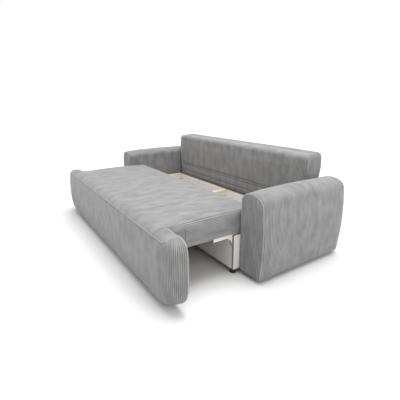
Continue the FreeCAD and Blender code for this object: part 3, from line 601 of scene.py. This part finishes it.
# Seat and bolster
def bolster_arc(points):
    """Distance round the bolster's plan from its middle, so its wales keep their width round the ends."""
    plan = [(TURN_HUB, PANEL_FRONT)]
    for reach, setback in CORNER_SHARES:
        plan.append((CORNER_START + CORNER_REACH * reach, PANEL_FRONT + CORNER_SETBACK * setback))
    plan.append((PANEL_END, PANEL_REAR))
    plan = np.array(plan)
    turns = np.arctan2(plan[:, 0] - TURN_HUB, PANEL_REAR - plan[:, 1])
    runs = np.concatenate([[0.0], np.cumsum(np.linalg.norm(np.diff(plan, axis=0), axis=1))])
    side = np.abs(points[:, 0])
    turn = np.arctan2(np.maximum(side - TURN_HUB, 0.0), np.maximum(PANEL_REAR - points[:, 1], 0.0005))
    arc = np.where(side < TURN_HUB, side, TURN_HUB + np.interp(turn, turns, runs))
    return arc * np.sign(points[:, 0])


def bridge_block():
    """Carries the slab's top and its rounded edges on over the bolster, where one cloth runs over both."""
    block = pad_block("seat_upholstery")
    whole = block.verts[:] + block.edges[:] + block.faces[:]
    bmesh.ops.bisect_plane(
        block, geom=whole, plane_co=(0.0, -0.600, 0.0), plane_no=(0.0, 1.0, 0.0), clear_outer=True
    )
    low = [vert for vert in block.verts if vert.co.z < 0.40]
    bmesh.ops.delete(block, geom=low, context="VERTS")
    for vert in block.verts:
        if vert.co.y < -0.66:
            rise = 0.0065 * ramp(SEAT_END - abs(vert.co.x), 0.02)
            vert.co = (vert.co.x, -0.725, vert.co.z + rise)
    hull = bmesh.ops.convex_hull(block, input=block.verts)
    outer = {item for item in hull["geom"] if isinstance(item, bmesh.types.BMFace)}
    bmesh.ops.delete(block, geom=[face for face in block.faces if face not in outer], context="FACES")
    bmesh.ops.delete(block, geom=[vert for vert in block.verts if not vert.link_faces], context="VERTS")
    bmesh.ops.recalc_face_normals(block, faces=block.faces)
    return block


def joined_seat(pads):
    """Slab, bolster and bridge as one evenly meshed cover."""
    slab = pad_block(pads[0])
    reaching = [vert for vert in slab.verts if vert.co.y < -0.66]
    bmesh.ops.translate(slab, vec=(0.0, -0.030, 0.0), verts=reaching)
    piece = as_object("seat_cover", slab)
    fused(piece, pad_block(pads[1]), "UNION")
    fused(piece, bridge_block(), "UNION")
    remeshed(piece, VOXEL_BIG)
    put_back(piece.data, coordinates(piece.data) - normals(piece.data) * SLACK)
    return piece


def over_join(point):
    return -0.745 < point[1] < -0.56 and point[2] > 0.43 and abs(point[0]) < 1.000


def level_join(piece):
    """Takes the step out of the cloth where the slab meets the bolster."""
    block = bmesh.new()
    block.from_mesh(piece.data)
    join = [vert for vert in block.verts if over_join(vert.co) and abs(vert.co.x) < 0.960]
    only_level = {"use_axis_x": False, "use_axis_y": False, "use_axis_z": True}
    for _ in range(14):
        bmesh.ops.smooth_vert(block, verts=join, factor=0.5, **only_level)
    block.to_mesh(piece.data)
    block.free()


def crowned(points):
    """Raises the slab's top into a low crown that runs on over the bolster."""
    x, y, z = points.T
    edge = np.minimum(SEAT_END - np.abs(x), SEAT_REAR + 0.008 - y)
    crown = eased_share(edge, -0.004, 0.022)
    ahead = eased_share(-y, 0.655, 0.70)
    crown += ahead * (eased_share(1.07 - np.abs(x), 0.0, 0.10) - crown)
    crown *= eased_share(z, 0.43, 0.455) * eased_share(y, -0.780, -0.700)
    z += SEAT_CROWN * crown


def filled_corners(points):
    """Fills out the bolster's upper corners, the right one more than the left."""
    x, y, z = points.T
    hub = np.stack([np.abs(x) - TURN_HUB, z - 0.36], axis=1)
    turn = np.arctan2(hub[:, 1], hub[:, 0])
    corner = np.where((hub > 0.0).all(axis=1) & (y < PANEL_REAR + 0.01), np.sin(2.0 * turn) ** 2, 0.0)
    fuller = np.where(x > 0.0, CORNER_FILL_RIGHT, CORNER_FILL_LEFT) * eased_share(y, -0.75, -0.69)
    fuller -= CORNER_DRAW * eased_share(-y, 0.74, 0.78)
    away = hub / np.maximum(np.linalg.norm(hub, axis=1), 1e-6)[:, None]
    x += np.sign(x) * away[:, 0] * corner * fuller
    z += away[:, 1] * corner * fuller


def tucked(points, out):
    """Draws the slab's skirt to its frame, higher by the hinges, and swells the bolster's lower ends."""
    x, y, z = points.T
    slab = y > PANEL_REAR + 0.0040
    by_hinge = eased_share(y, 0.02, 0.042) * eased_share(np.abs(x), 0.950, 0.965)
    z[:] = np.maximum(z, np.where(slab, SEAT_FOOT + HINGE_LIFT * by_hinge, PANEL_FOOT))
    x[:] = np.where(slab, np.clip(x, -0.990, 0.990), x)
    side = np.sign(x)
    skirt = share(-z, -0.336, -0.324) * slab
    x += skirt * share(np.abs(out[:, 0]), 0.15, 0.35) * (side * 0.9866 - x)
    y += skirt * share(out[:, 1], 0.15, 0.35) * (y > 0.03) * (0.0613 - y)
    swell = share(-np.abs(z - 0.12), -0.11, 0.0) * share(np.abs(x), 1.08, 1.18)
    x += side * FOOT_SWELL * swell


def drawn_to_foot(points):
    """Draws the bolster's lower corners in towards its back, as the cloth is pulled round the ends."""
    side = np.abs(points[:, 0])
    level = points[:, 2]
    bend = 0.132
    low = share(-level, -0.26, -0.03) ** 1.3
    reach = np.interp(level, [0.026, 0.077, 0.131, 0.195, 0.278], [1.122, 1.180, 1.214, 1.223, 1.227])
    turn = np.clip((side - (reach - bend)) / bend, 0.0, 0.97)
    setback = (CORNER_SETBACK + 0.034 * low) * (1.0 - np.sqrt(1.0 - turn**2))
    steps = [reach_share for reach_share, _ in CORNER_SHARES]
    before = np.interp((side - CORNER_START) / CORNER_REACH, steps, CORNER_SETBACKS)
    kept = np.clip((PANEL_DEPTH - setback) / np.maximum(PANEL_DEPTH - before, 0.02), 0.25, 1.0)
    bolster = points[:, 1] < PANEL_REAR
    kept = np.where(bolster & (level < 0.26), 1.0 + (kept - 1.0) * np.minimum(1.0, low * 4.0), 1.0)
    points[:, 1] = np.where(bolster, PANEL_REAR + (points[:, 1] - PANEL_REAR) * kept, points[:, 1])
    return points


def press_sides(piece):
    """Marks the slab's sides, where the cloth is drawn tight and its wales lie flatter."""
    x, y, z = coordinates(piece.data).T
    tight = eased_share(np.abs(x), 0.972, 0.984) * eased_share(-z, -0.470, -0.452)
    tight *= eased_share(y, PANEL_REAR, PANEL_REAR + 0.010)
    layer = piece.data.attributes.new("pressed", "FLOAT", "POINT")
    layer.data.foreach_set("value", 0.55 * tight)


def seat_cover():
    pads = ("seat_upholstery", "front_panel_upholstery")
    piece = joined_seat(pads)

    def resting(point, out):
        under = (out[:, 2] < -0.7) & (point[:, 1] > PANEL_REAR + 0.02)
        behind = (out[:, 1] > 0.7) & (point[:, 1] < PANEL_REAR + 0.02)
        return under | behind | (point[:, 2] < 0.045)

    puffed(piece, resting, PUFF)
    level_join(piece)
    rounder(piece)
    forms = [tree_of(pad_block(name)) for name in pads] + [tree_of(bridge_block())]
    kept_near(piece, forms, 0.0002, 0.005, over_join)

    def sat_on(point, out):
        if out[2] < 0.5 or point[1] < -0.77:
            return 0.30 * (point[2] > 0.33 and point[1] < PANEL_REAR - 0.01)
        return ramp(min(SEAT_END - abs(point[0]), SEAT_REAR - point[1], point[1] + 0.80), 0.12)

    creased(piece, (11.0, 2.6, 3.0), SEAT_CREASE, sat_on)
    creased(piece, (3.0, 3.5, 3.0), SEAT_CREASE, lambda point, out: sat_on(point, out) * (out[2] > 0.7))
    points = coordinates(piece.data)
    crowned(points)
    filled_corners(points)
    tucked(points, normals(piece.data))
    put_back(piece.data, drawn_to_foot(points))
    core = pad_block("front_panel_back_board", "front_panel_face_board")
    rear = [vert for vert in core.verts if vert.co.y > -0.70]
    bmesh.ops.translate(core, vec=(0.0, -0.0012, 0.0), verts=rear)
    castor_rooms = [[(middle + x, y, z) for x, y, z in CASTOR_ROOM] for middle in CASTOR_PLACES]
    hollowed(piece, [SEAT_ROOM] + castor_rooms, [core])

    def lay(point, middle, facing):
        side = np.abs(middle[:, 0])
        front_top = (middle[:, 1] > SEAM_Y) & (middle[:, 1] <= PANEL_REAR) & (middle[:, 2] > 0.40)
        slab = (middle[:, 1] > PANEL_REAR) & (facing[:, 1] < 0.7)
        top = (facing[:, 2] > 0.25) & front_top & (side < 1.130) | slab
        under = facing[:, 2] < -0.7
        band = (middle[:, 1] <= PANEL_REAR + 0.002) & ~top & (facing[:, 1] < 0.7)
        over_edge = np.abs(point[:, 0]) + SEAT_TOP - np.minimum(point[:, 2], SEAT_TOP)
        across = np.where(slab & ~under, np.sign(point[:, 0]) * over_edge, point[:, 0])
        across = np.where(band, bolster_arc(point), across)
        along = np.where(top | under, point[:, 1], point[:, 2])
        return across, along

    cloth_map(piece, lay)
    press_sides(piece)
    return finish_cover(piece, list(pads), "seat")


covers = {
    "arm_left": arm_cover(-1),
    "arm_right": arm_cover(1),
    "backrest": backrest_cover(),
    "seat": seat_cover(),
}


# Seams and stitches
def surface(piece):
    block = bmesh.new()
    block.from_mesh(piece.data)
    return tree_of(block)


def lay_on(tree, spots, aim):
    """Drops each spot onto the cover in the direction of aim; gives places and normals."""
    way = Vector(aim).normalized()
    found = []
    for spot in spots:
        where, facing, _, _ = tree.ray_cast(Vector(spot) - way * 0.25, way, 0.6)
        if where is not None:
            found.append((where, facing if facing.dot(way) < 0 else -facing))
    return found


def round_about(tree, side, hub, reach, degrees):
    """Lays places on a cover where it is met by rays that come in to a hub at these angles."""
    found = []
    for degree in degrees:
        angle = math.radians(degree)
        way = Vector((side * math.cos(angle), 0.0, math.sin(angle)))
        where, facing, _, _ = tree.ray_cast(hub + way * reach, -way, reach + 0.1)
        if where is not None:
            found.append((where, facing))
    return found


def run_between(corners, step):
    """Points at an even step along straight runs."""
    spots = []
    for start, end in zip(corners[:-1], corners[1:]):
        start = Vector(start)
        end = Vector(end)
        count = max(1, round((end - start).length / step))
        spots += [start.lerp(end, index / count) for index in range(count)]
    spots.append(Vector(corners[-1]))
    return spots


def evened(laid, turns):
    """Takes the small steps out of a laid line."""
    for _ in range(turns):
        middle = [
            ((a[0] + b[0] * 2 + c[0]) / 4, (a[1] + b[1] * 2 + c[1]).normalized())
            for a, b, c in zip(laid[:-2], laid[1:-1], laid[2:])
        ]
        laid = [laid[0]] + middle + [laid[-1]]
    return laid


def welt(laid, width, height, lift=0.0, sides=8):
    """A narrow rounded fold of cloth that follows laid places on a cover."""
    block = bmesh.new()
    rings = []
    for index, (where, facing) in enumerate(laid):
        ahead = laid[min(index + 1, len(laid) - 1)][0] - laid[max(index - 1, 0)][0]
        across = ahead.cross(facing).normalized()
        up = across.cross(ahead).normalized()
        ring = []
        for number in range(sides):
            angle = math.tau * number / sides
            spot = where + up * (lift + math.sin(angle) * height) + across * (math.cos(angle) * width)
            ring.append(block.verts.new(spot))
        rings.append(ring)
    for behind, ahead in zip(rings[:-1], rings[1:]):
        for number in range(sides):
            after = (number + 1) % sides
            block.faces.new((behind[after], ahead[after], ahead[number], behind[number]))
    block.faces.new(rings[0])
    block.faces.new(rings[-1])
    bmesh.ops.recalc_face_normals(block, faces=block.faces)
    return block


def stitches(laid, pitch, long, thick, shift=0.0, lift=0.0):
    """Separate short stitches along laid places."""
    block = bmesh.new()
    travelled = 0.0
    due = pitch / 2
    for (here, facing), (after, _) in zip(laid[:-1], laid[1:]):
        step = (after - here).length
        while due <= travelled + step:
            along = (after - here).normalized()
            across = along.cross(facing).normalized()
            spot = here + along * (due - travelled) + across * shift + facing * lift
            turn = Matrix((along, across, along.cross(across))).transposed().to_4x4()
            grown = bmesh.ops.create_icosphere(block, subdivisions=1, radius=0.5)["verts"]
            bmesh.ops.scale(block, vec=(long, thick, thick), verts=grown)
            bmesh.ops.transform(block, matrix=Matrix.Translation(spot) @ turn, verts=grown)
            due += pitch
        travelled += step
    return block


def fitted(name, blocks, body, finish, sharp=1.2):
    """A new piece of separate blocks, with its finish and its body."""
    piece = join_blocks(name, blocks)
    smooth_faces(piece.data, sharp)
    if finish == COVER_CLOTH:
        cloth_map(piece, lambda point, middle, facing: (point[:, 0], point[:, 2]))
    piece.data.materials.append(finish)
    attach(piece, body)


def trim_cloth(name, colour, deep):
    """Narrow folds and thread: twisted fibre with its own light and dark."""
    made, tree, shader = material(name, 0.85, sheen=0.3)
    spots = grain(tree, object_place(tree), 420.0)
    tree.links.new(blend_colours(tree, spots, deep, colour), shader["Base Color"])
    bump(tree, shader, spots, 0.4, 0.0006)
    return made


WELT_CLOTH = trim_cloth("welt_corduroy", (0.31, 0.308, 0.305, 1.0), (0.22, 0.218, 0.216, 1.0))
# Painted highlight: a paler cloth for the welts round the bolster's ends, standing in for the light they catch.
HIGHLIGHT_WELT_CLOTH = trim_cloth("welt_corduroy_painted_highlight", (0.38, 0.377, 0.374, 1.0), (0.28, 0.278, 0.275, 1.0))
THREAD = trim_cloth("grey_thread", (0.42, 0.417, 0.413, 1.0), (0.30, 0.298, 0.295, 1.0))
# Painted shade: near-black cloth laid in the sunk seams, standing in for the shade in their grooves.
SEAM_SHADE_CLOTH = trim_cloth("seam_groove_shade", (0.125, 0.124, 0.123, 1.0), (0.08, 0.079, 0.078, 1.0))

# Half width, height and lift of each kind of welt, then pitch, length and thickness of the stitches
TOP_WELT = (0.0032, 0.0026, 0.0006)
RIM_WELT = (0.0050, 0.0038, 0.0012)
ARCH_WELT = (0.0032, 0.0028, 0.0012)
EDGE_WELT = (0.0028, 0.0015, 0.0004)
# The side and sunk welts carry the painted shade of the sewn seams.
SIDE_SHADE_WELT = (0.0022, 0.0012, 0.0000)
SUNK_SHADE_WELT = (0.0046, 0.0011, 0.0004)
STRIP_WELT = (0.0105, 0.0014, -0.0002)
EDGE_STITCH = (0.008, 0.0058, 0.0012)
FACE_STITCH = (0.009, 0.0062, 0.0012)

# Where the bolster's top seam goes on from the end of its straight run
SEAM_BEND = (
    (SEAM_END, SEAM_Y, SEAM_Z), (1.108, -0.769, 0.456), (1.120, -0.757, 0.460),
    (1.127, -0.735, 0.466), (1.131, -0.712, 0.467), (1.136, -0.686, 0.465),
)


def bolster_seams():
    tree = surface(covers["seat"])
    front = run_between([(-SEAM_END, SEAM_Y, SEAM_Z), (SEAM_END, SEAM_Y, SEAM_Z)], 0.012)
    laid = lay_on(tree, front, (0.0, 0.62, -0.78))
    ends = []
    rims = []
    for side in (-1, 1):
        bend = [(side * x, y, z) for x, y, z in SEAM_BEND]
        ends.append(lay_on(tree, run_between(bend, 0.006), (0.0, 0.25, -0.97)))
        hub = Vector((side * 1.02, -0.6795, 0.24))
        rim = [spot for spot in round_about(tree, side, hub, 0.6, range(95, -61, -1)) if spot[0].z > 0.034]
        rims.append(welt(evened(rim, 4), *RIM_WELT))
    whole = evened(list(reversed(ends[0]))[:-1] + laid + ends[1][1:], 4)
    fitted("bolster_seam", [welt(whole, *TOP_WELT)], "seat", WELT_CLOTH)
    # The paler end welts carry a painted highlight.
    fitted("bolster_end_welts", rims, "seat", HIGHLIGHT_WELT_CLOTH)
    fitted("bolster_seam_stitches", [stitches(whole, *EDGE_STITCH, 0.010, 0.0002)], "seat", THREAD)


def slab_side_seam_shade_lines():
    tree = surface(covers["seat"])
    blocks = []
    for side in (-1, 1):
        line = run_between([(side * 1.2, -0.553, 0.438), (side * 1.2, -0.553, 0.316)], 0.006)
        blocks.append(welt(evened(lay_on(tree, line, (-side, 0.0, 0.0)), 3), *SIDE_SHADE_WELT))
    # The dark welts down the slab's sides are painted shade of the seams there.
    fitted("slab_side_seam_shade_lines", blocks, "seat", SEAM_SHADE_CLOTH)


def arm_seams(side):
    """Along each arch, then straight down the outer edge."""
    name = "left" if side < 0 else "right"
    tree = surface(covers["arm_%s" % name])
    blocks = []
    sewing = []
    for y, inward in ((-0.1105, 1.0), (0.775, -1.0)):
        line = []
        hub = Vector((side * 1.112, y, 0.46))
        for where, facing in round_about(tree, side, hub, 0.5, range(118, -13, -1)):
            if where.z < 0.44:
                break
            line.append((where, facing))
        bend = len(line)
        drop = [Vector((side * 1.40, y, line[-1][0].z - 0.012 * step)) for step in range(1, 60)]
        line += lay_on(tree, [spot for spot in drop if spot.z > 0.036], (-side, 0.0, 0.0))
        line = evened(line, 3)
        blocks.append(welt(line[:bend + 2], *ARCH_WELT))
        blocks.append(welt(line[bend:], *EDGE_WELT))
        sewing.append(stitches(line, *EDGE_STITCH, -side * inward * 0.009, 0.0004))
    fitted("arm_%s_seams" % name, blocks, "base", WELT_CLOTH)
    fitted("arm_%s_stitches" % name, sewing, "base", THREAD)


def backrest_seams():
    """The folded strip between two sewn lines, and one more line below; dark welts along the lines are painted
    shade of the sunk seams.
    """
    tree = surface(covers["backrest"])

    def level_line(z):
        line = run_between([(-0.969, 0.50, z), (0.969, 0.50, z)], 0.012)
        return evened(lay_on(tree, line, (0.0, 1.0, 0.0)), 3)

    lines = [level_line(z) for z in (0.460, 0.437, 0.369)]
    strip = welt(level_line(0.4485), *STRIP_WELT, sides=12)
    sewing = [stitches(laid, *FACE_STITCH, 0.004, 0.0002) for laid in lines[:2]]
    fitted("backrest_fold_strip", [strip], "backrest", COVER_CLOTH)
    # The dark welts on the face lines are painted shade of the sunk seams.
    fitted("backrest_seam_shade_lines", [welt(laid, *SUNK_SHADE_WELT) for laid in lines], "backrest", SEAM_SHADE_CLOTH)
    fitted("backrest_stitches", sewing, "backrest", THREAD)


bolster_seams()
slab_side_seam_shade_lines()
arm_seams(-1)
arm_seams(1)
backrest_seams()


# Boards, timber, metal and plastic
def board_group():
    """Pale melamine faces and banded edges, with a soft line where they meet."""
    tree, given, out = group(
        "melamine_board",
        {"Place": "vector", "Thin way": "vector", "Facing": "vector", "Face colour": "colour",
         "Edge colour": "colour"},
        {"Colour": "colour", "Edge": "value", "Height": "value"},
    )
    ways = {0: given["Thin way"], 1: given["Facing"]}
    along = place(tree, "ShaderNodeVectorMath", ways, operation="DOT_PRODUCT").outputs["Value"]
    edge = span(tree, arithmetic(tree, "ABSOLUTE", along), 0.35, 0.75, 1.0, 0.0)
    cloud = span(tree, grain(tree, given["Place"], 9.0, 5.0), 0.3, 0.7, 0.93, 1.03)
    streaks = span(tree, grain(tree, given["Place"], (4.0, 4.0, 160.0), 3.0), 0.3, 0.7, 0.75, 1.2)
    face = scaled(tree, given["Face colour"], cloud)
    banded = scaled(tree, given["Edge colour"], streaks)
    return give(tree, out, {
        "Colour": blend_colours(tree, edge, face, banded),
        "Edge": edge,
        "Height": grain(tree, given["Place"], 650.0),
    })


BOARD = board_group()


def melamine(name, thin_way, face, edge):
    made, tree, shader = material(name, 0.42)
    facing = tree.nodes.new("ShaderNodeTexCoord").outputs["Normal"]
    board = {"Place": object_place(tree), "Facing": facing, "Thin way": thin_way, "Face colour": face}
    board["Edge colour"] = edge
    whole = place(tree, "ShaderNodeGroup", board, node_tree=BOARD).outputs
    tree.links.new(whole["Colour"], shader["Base Color"])
    tree.links.new(span(tree, whole["Edge"], 0.0, 1.0, 0.40, 0.62), shader["Roughness"])
    bump(tree, shader, whole["Height"], 0.12, 0.0004)
    return made


def timber_group():
    """Growth rings and pores, drawn out along one way of the piece."""
    tree, given, out = group(
        "timber_grain",
        {"Place": "vector", "Stretch": "vector", "Pale": "colour", "Deep": "colour"},
        {"Colour": "colour", "Height": "value"},
    )
    ways = {0: given["Place"], 1: given["Stretch"]}
    drawn = place(tree, "ShaderNodeVectorMath", ways, operation="MULTIPLY").outputs[0]
    wavy = {"Vector": drawn, "Scale": 1.0, "Detail": 4.0, "Distortion": 0.8}
    rings = place(tree, "ShaderNodeTexNoise", wavy)
    bands = arithmetic(tree, "SINE", arithmetic(tree, "MULTIPLY", rings.outputs[0], 38.0))
    fine = grain(tree, drawn, 9.0)
    mask = arithmetic(tree, "MULTIPLY_ADD", fine, 0.5, arithmetic(tree, "MULTIPLY", bands, 0.28))
    tone = blend_colours(tree, span(tree, mask, 0.0, 0.6), given["Pale"], given["Deep"])
    return give(tree, out, {"Colour": tone, "Height": fine})


TIMBER = timber_group()


def timber(name, stretch, pale, deep):
    made, tree, shader = material(name, 0.6)
    board = {"Place": object_place(tree), "Stretch": stretch, "Pale": pale, "Deep": deep}
    whole = place(tree, "ShaderNodeGroup", board, node_tree=TIMBER).outputs
    tree.links.new(whole["Colour"], shader["Base Color"])
    bump(tree, shader, whole["Height"], 0.25, 0.0005)
    return made


def flaked(name, pale, deep, size):
    """Pressed chips or fibre: small cells of light and dark."""
    made, tree, shader = material(name, 0.75)
    cells = place(tree, "ShaderNodeTexVoronoi", {"Vector": object_place(tree), "Scale": size}).outputs[0]
    dust = grain(tree, object_place(tree), size * 2.0, 3.0)
    shade = arithmetic(tree, "MULTIPLY_ADD", dust, 0.6, arithmetic(tree, "MULTIPLY", cells, 0.5))
    tree.links.new(blend_colours(tree, span(tree, shade, 0.2, 0.8), pale, deep), shader["Base Color"])
    bump(tree, shader, dust, 0.3, 0.0004)
    return made


def moulded(name, colour, worn):
    """Moulded plastic with a fine spark texture and rubbed patches."""
    made, tree, shader = material(name, 0.5)
    rub = grain(tree, object_place(tree), 45.0, 4.0)
    tree.links.new(blend_colours(tree, span(tree, rub, 0.45, 0.75), colour, worn), shader["Base Color"])
    tree.links.new(span(tree, rub, 0.3, 0.7, 0.42, 0.62), shader["Roughness"])
    bump(tree, shader, grain(tree, object_place(tree), 1400.0, 1.0), 0.2, 0.0002)
    return made


def plated(name, deep, pale):
    """Plated steel: cloudy grey with brushed lines."""
    made, tree, shader = material(name, 0.38, metal=1.0)
    cloud = grain(tree, object_place(tree), 60.0, 4.0)
    tree.links.new(blend_colours(tree, cloud, deep, pale), shader["Base Color"])
    tree.links.new(span(tree, cloud, 0.3, 0.7, 0.28, 0.46), shader["Roughness"])
    bump(tree, shader, grain(tree, object_place(tree), (30.0, 700.0, 700.0)), 0.15, 0.0002)
    return made


WHITE_FACE = (0.75, 0.74, 0.71, 1.0)
BROWN_EDGE = (0.27, 0.155, 0.095, 1.0)
PALE_EDGE = (0.50, 0.36, 0.27, 1.0)
PINE = ((0.76, 0.65, 0.50, 1.0), (0.62, 0.46, 0.30, 1.0))
FIBRE = (0.33, 0.22, 0.13, 1.0)
ACROSS = (1.0, 0.0, 0.0)
BACKWARD = (0.0, 1.0, 0.0)
UPWARD = (0.0, 0.0, 1.0)
finishes = (
    (melamine("melamine_side_board", ACROSS, WHITE_FACE, BROWN_EDGE),
     ["chest_side_left", "chest_side_right", "seat_runner_left", "seat_runner_right"]),
    (melamine("melamine_cross_board", BACKWARD, WHITE_FACE, PALE_EDGE),
     ["chest_front_board", "chest_back_board", "chest_rear_board"]),
    (melamine("melamine_shelf_board", UPWARD, WHITE_FACE, BROWN_EDGE), ["back_shelf"]),
    (melamine("white_hardboard", UPWARD, WHITE_FACE, FIBRE), ["chest_floor"]),
    (timber("pine_along_width", (2.0, 26.0, 26.0), *PINE),
     ["seat_frame_rails", "back_frame_rails", "front_panel_spacers", "castor_blocks"]),
    (timber("pine_along_depth", (26.0, 2.0, 26.0), *PINE),
     ["cross_rail_left", "cross_rail_centre", "cross_rail_right", "floor_bearers", "seat_frame_bars"]),
    (timber("pine_upright", (26.0, 26.0, 2.0), *PINE),
     ["corner_blocks", "back_frame_posts", "hinge_blocks", "seat_stops"]),
    (flaked("hardboard_brown", FIBRE, (0.24, 0.155, 0.09, 1.0), 400.0),
     ["seat_base_board", "back_frame_panel"]),
    # The arms' base boards are near black: partly the black underside the sofa has, partly painted shade for
    # the dark line under the arms.
    (flaked("black_hardboard_and_painted_shade", (0.030, 0.029, 0.028, 1.0), (0.018, 0.018, 0.018, 1.0), 400.0),
     ["arm_left_base_board", "arm_right_base_board"]),
    (flaked("raw_chipboard", (0.56, 0.43, 0.28, 1.0), (0.38, 0.27, 0.16, 1.0), 150.0),
     ["arm_left_frame", "arm_right_frame", "front_panel_back_board", "front_panel_face_board"]),
    (moulded("black_plastic", (0.006, 0.006, 0.006, 1.0), (0.018, 0.018, 0.0175, 1.0)),
     ["chest_feet", "arm_glides", "seat_glides"]),
    (moulded("castor_grey_plastic", (0.09, 0.09, 0.09, 1.0), (0.16, 0.16, 0.155, 1.0)),
     ["castor_wheel_left", "castor_wheel_centre", "castor_wheel_right"]),
    (plated("zinc_steel", (0.50, 0.50, 0.49, 1.0), (0.68, 0.68, 0.66, 1.0)),
     ["arm_bolts", "hinge_fixed_plates", "hinge_pins", "hinge_turning_plates", "seat_springs", "castor_forks",
      "castor_axles"]),
)
for finish, node_names in finishes:
    for node_name in node_names:
        for node_slot in bpy.data.objects[node_name].material_slots:
            node_slot.material = finish


def rail_screws():
    """Two blackened screw heads on the top of each cross rail."""
    level = max(vert.co.z for vert in bpy.data.objects["cross_rail_centre"].data.vertices)
    thick = 0.0008
    heads = []
    for y in (0.441, 0.10):
        for x in (-0.858, 0.0, 0.858):
            heads.append(bmesh.new())
            bmesh.ops.create_cone(
                heads[-1], cap_ends=True, segments=24, radius1=0.0045, radius2=0.0040, depth=thick,
                matrix=Matrix.Translation((x, y, level + thick / 2))
            )
    black = plated("blackened_screw", (0.035, 0.034, 0.033, 1.0), (0.07, 0.069, 0.067, 1.0))
    fitted("rail_screw_heads", heads, "base", black, 0.6)


rail_screws()


# Floor, light and camera
def add_light(name, kind, power, way):
    data = bpy.data.lights.new(name, kind)
    data.energy = power
    lamp = bpy.data.objects.new(name, data)
    scene.collection.objects.link(lamp)
    lamp.rotation_euler = way.to_track_quat("-Z", "Y").to_euler()
    return lamp


def studio():
    """A pale floor painted darker round the middle as painted shade about the sofa, lighter away from it, a
    white sky and three soft lights.
    """
    floor = as_object("studio_floor", crate((-14.0, -14.0, -0.02), (14.0, 14.0, -0.0005)))
    made, tree, shader = material("studio_white", 0.9)
    away = place(tree, "ShaderNodeVectorMath", {0: object_place(tree)}, operation="LENGTH").outputs["Value"]
    # Painted shade: the floor is darker within 1.2 m of the middle and fades to its pale tone by 3.4 m.
    reach = span(tree, away, 1.2, 3.4)
    lighter = arithmetic(tree, "MULTIPLY_ADD", grain(tree, object_place(tree), 3.0), 0.03, reach)
    tone = blend_colours(tree, lighter, (0.64, 0.64, 0.64, 1.0), (0.79, 0.79, 0.79, 1.0))
    tree.links.new(tone, shader["Base Color"])
    floor.data.materials.append(made)
    world = bpy.data.worlds.new("studio_sky")
    world.use_nodes = True
    world.node_tree.nodes["Background"].inputs["Color"].default_value = (1.0, 1.0, 1.0, 1.0)
    world.node_tree.nodes["Background"].inputs["Strength"].default_value = 1.0
    scene.world = world
    for name, spot, aim, size, power in (
        ("side_softbox", (4.8, 0.8, 2.7), (0.6, 0.0, 0.5), 2.5, 48.0),
        ("overhead_softbox", (0.7, -0.4, 3.0), (0.3, 0.35, 0.5), 1.8, 24.0),
    ):
        lamp = add_light(name, "AREA", power, Vector(aim) - Vector(spot))
        lamp.data.size = size
        lamp.location = spot
    sun = add_light("overhead_light", "SUN", 2.2, Vector((0.03, -0.17, -1.0)))
    sun.data.angle = math.radians(42.0)


def camera():
    data = bpy.data.cameras.new("studio_camera")
    data.lens = 28.43
    data.sensor_width = 36.0
    data.shift_x = -0.0099
    data.shift_y = -0.0150
    data.clip_end = 60.0
    made = bpy.data.objects.new("studio_camera", data)
    scene.collection.objects.link(made)
    ahead = Vector((-0.79142205, 0.54262353, -0.28144421))
    right = Vector((0.56514338, 0.82499152, 0.00139595))
    above = Vector((-0.23294656, 0.15795155, 0.95957658))
    turn = Matrix((right, above, -ahead)).transposed().to_4x4()
    made.matrix_world = Matrix.Translation((2.5615, -1.4917, 1.2065)) @ turn
    scene.camera = made


studio()
camera()
scene.view_settings.view_transform = "Standard"
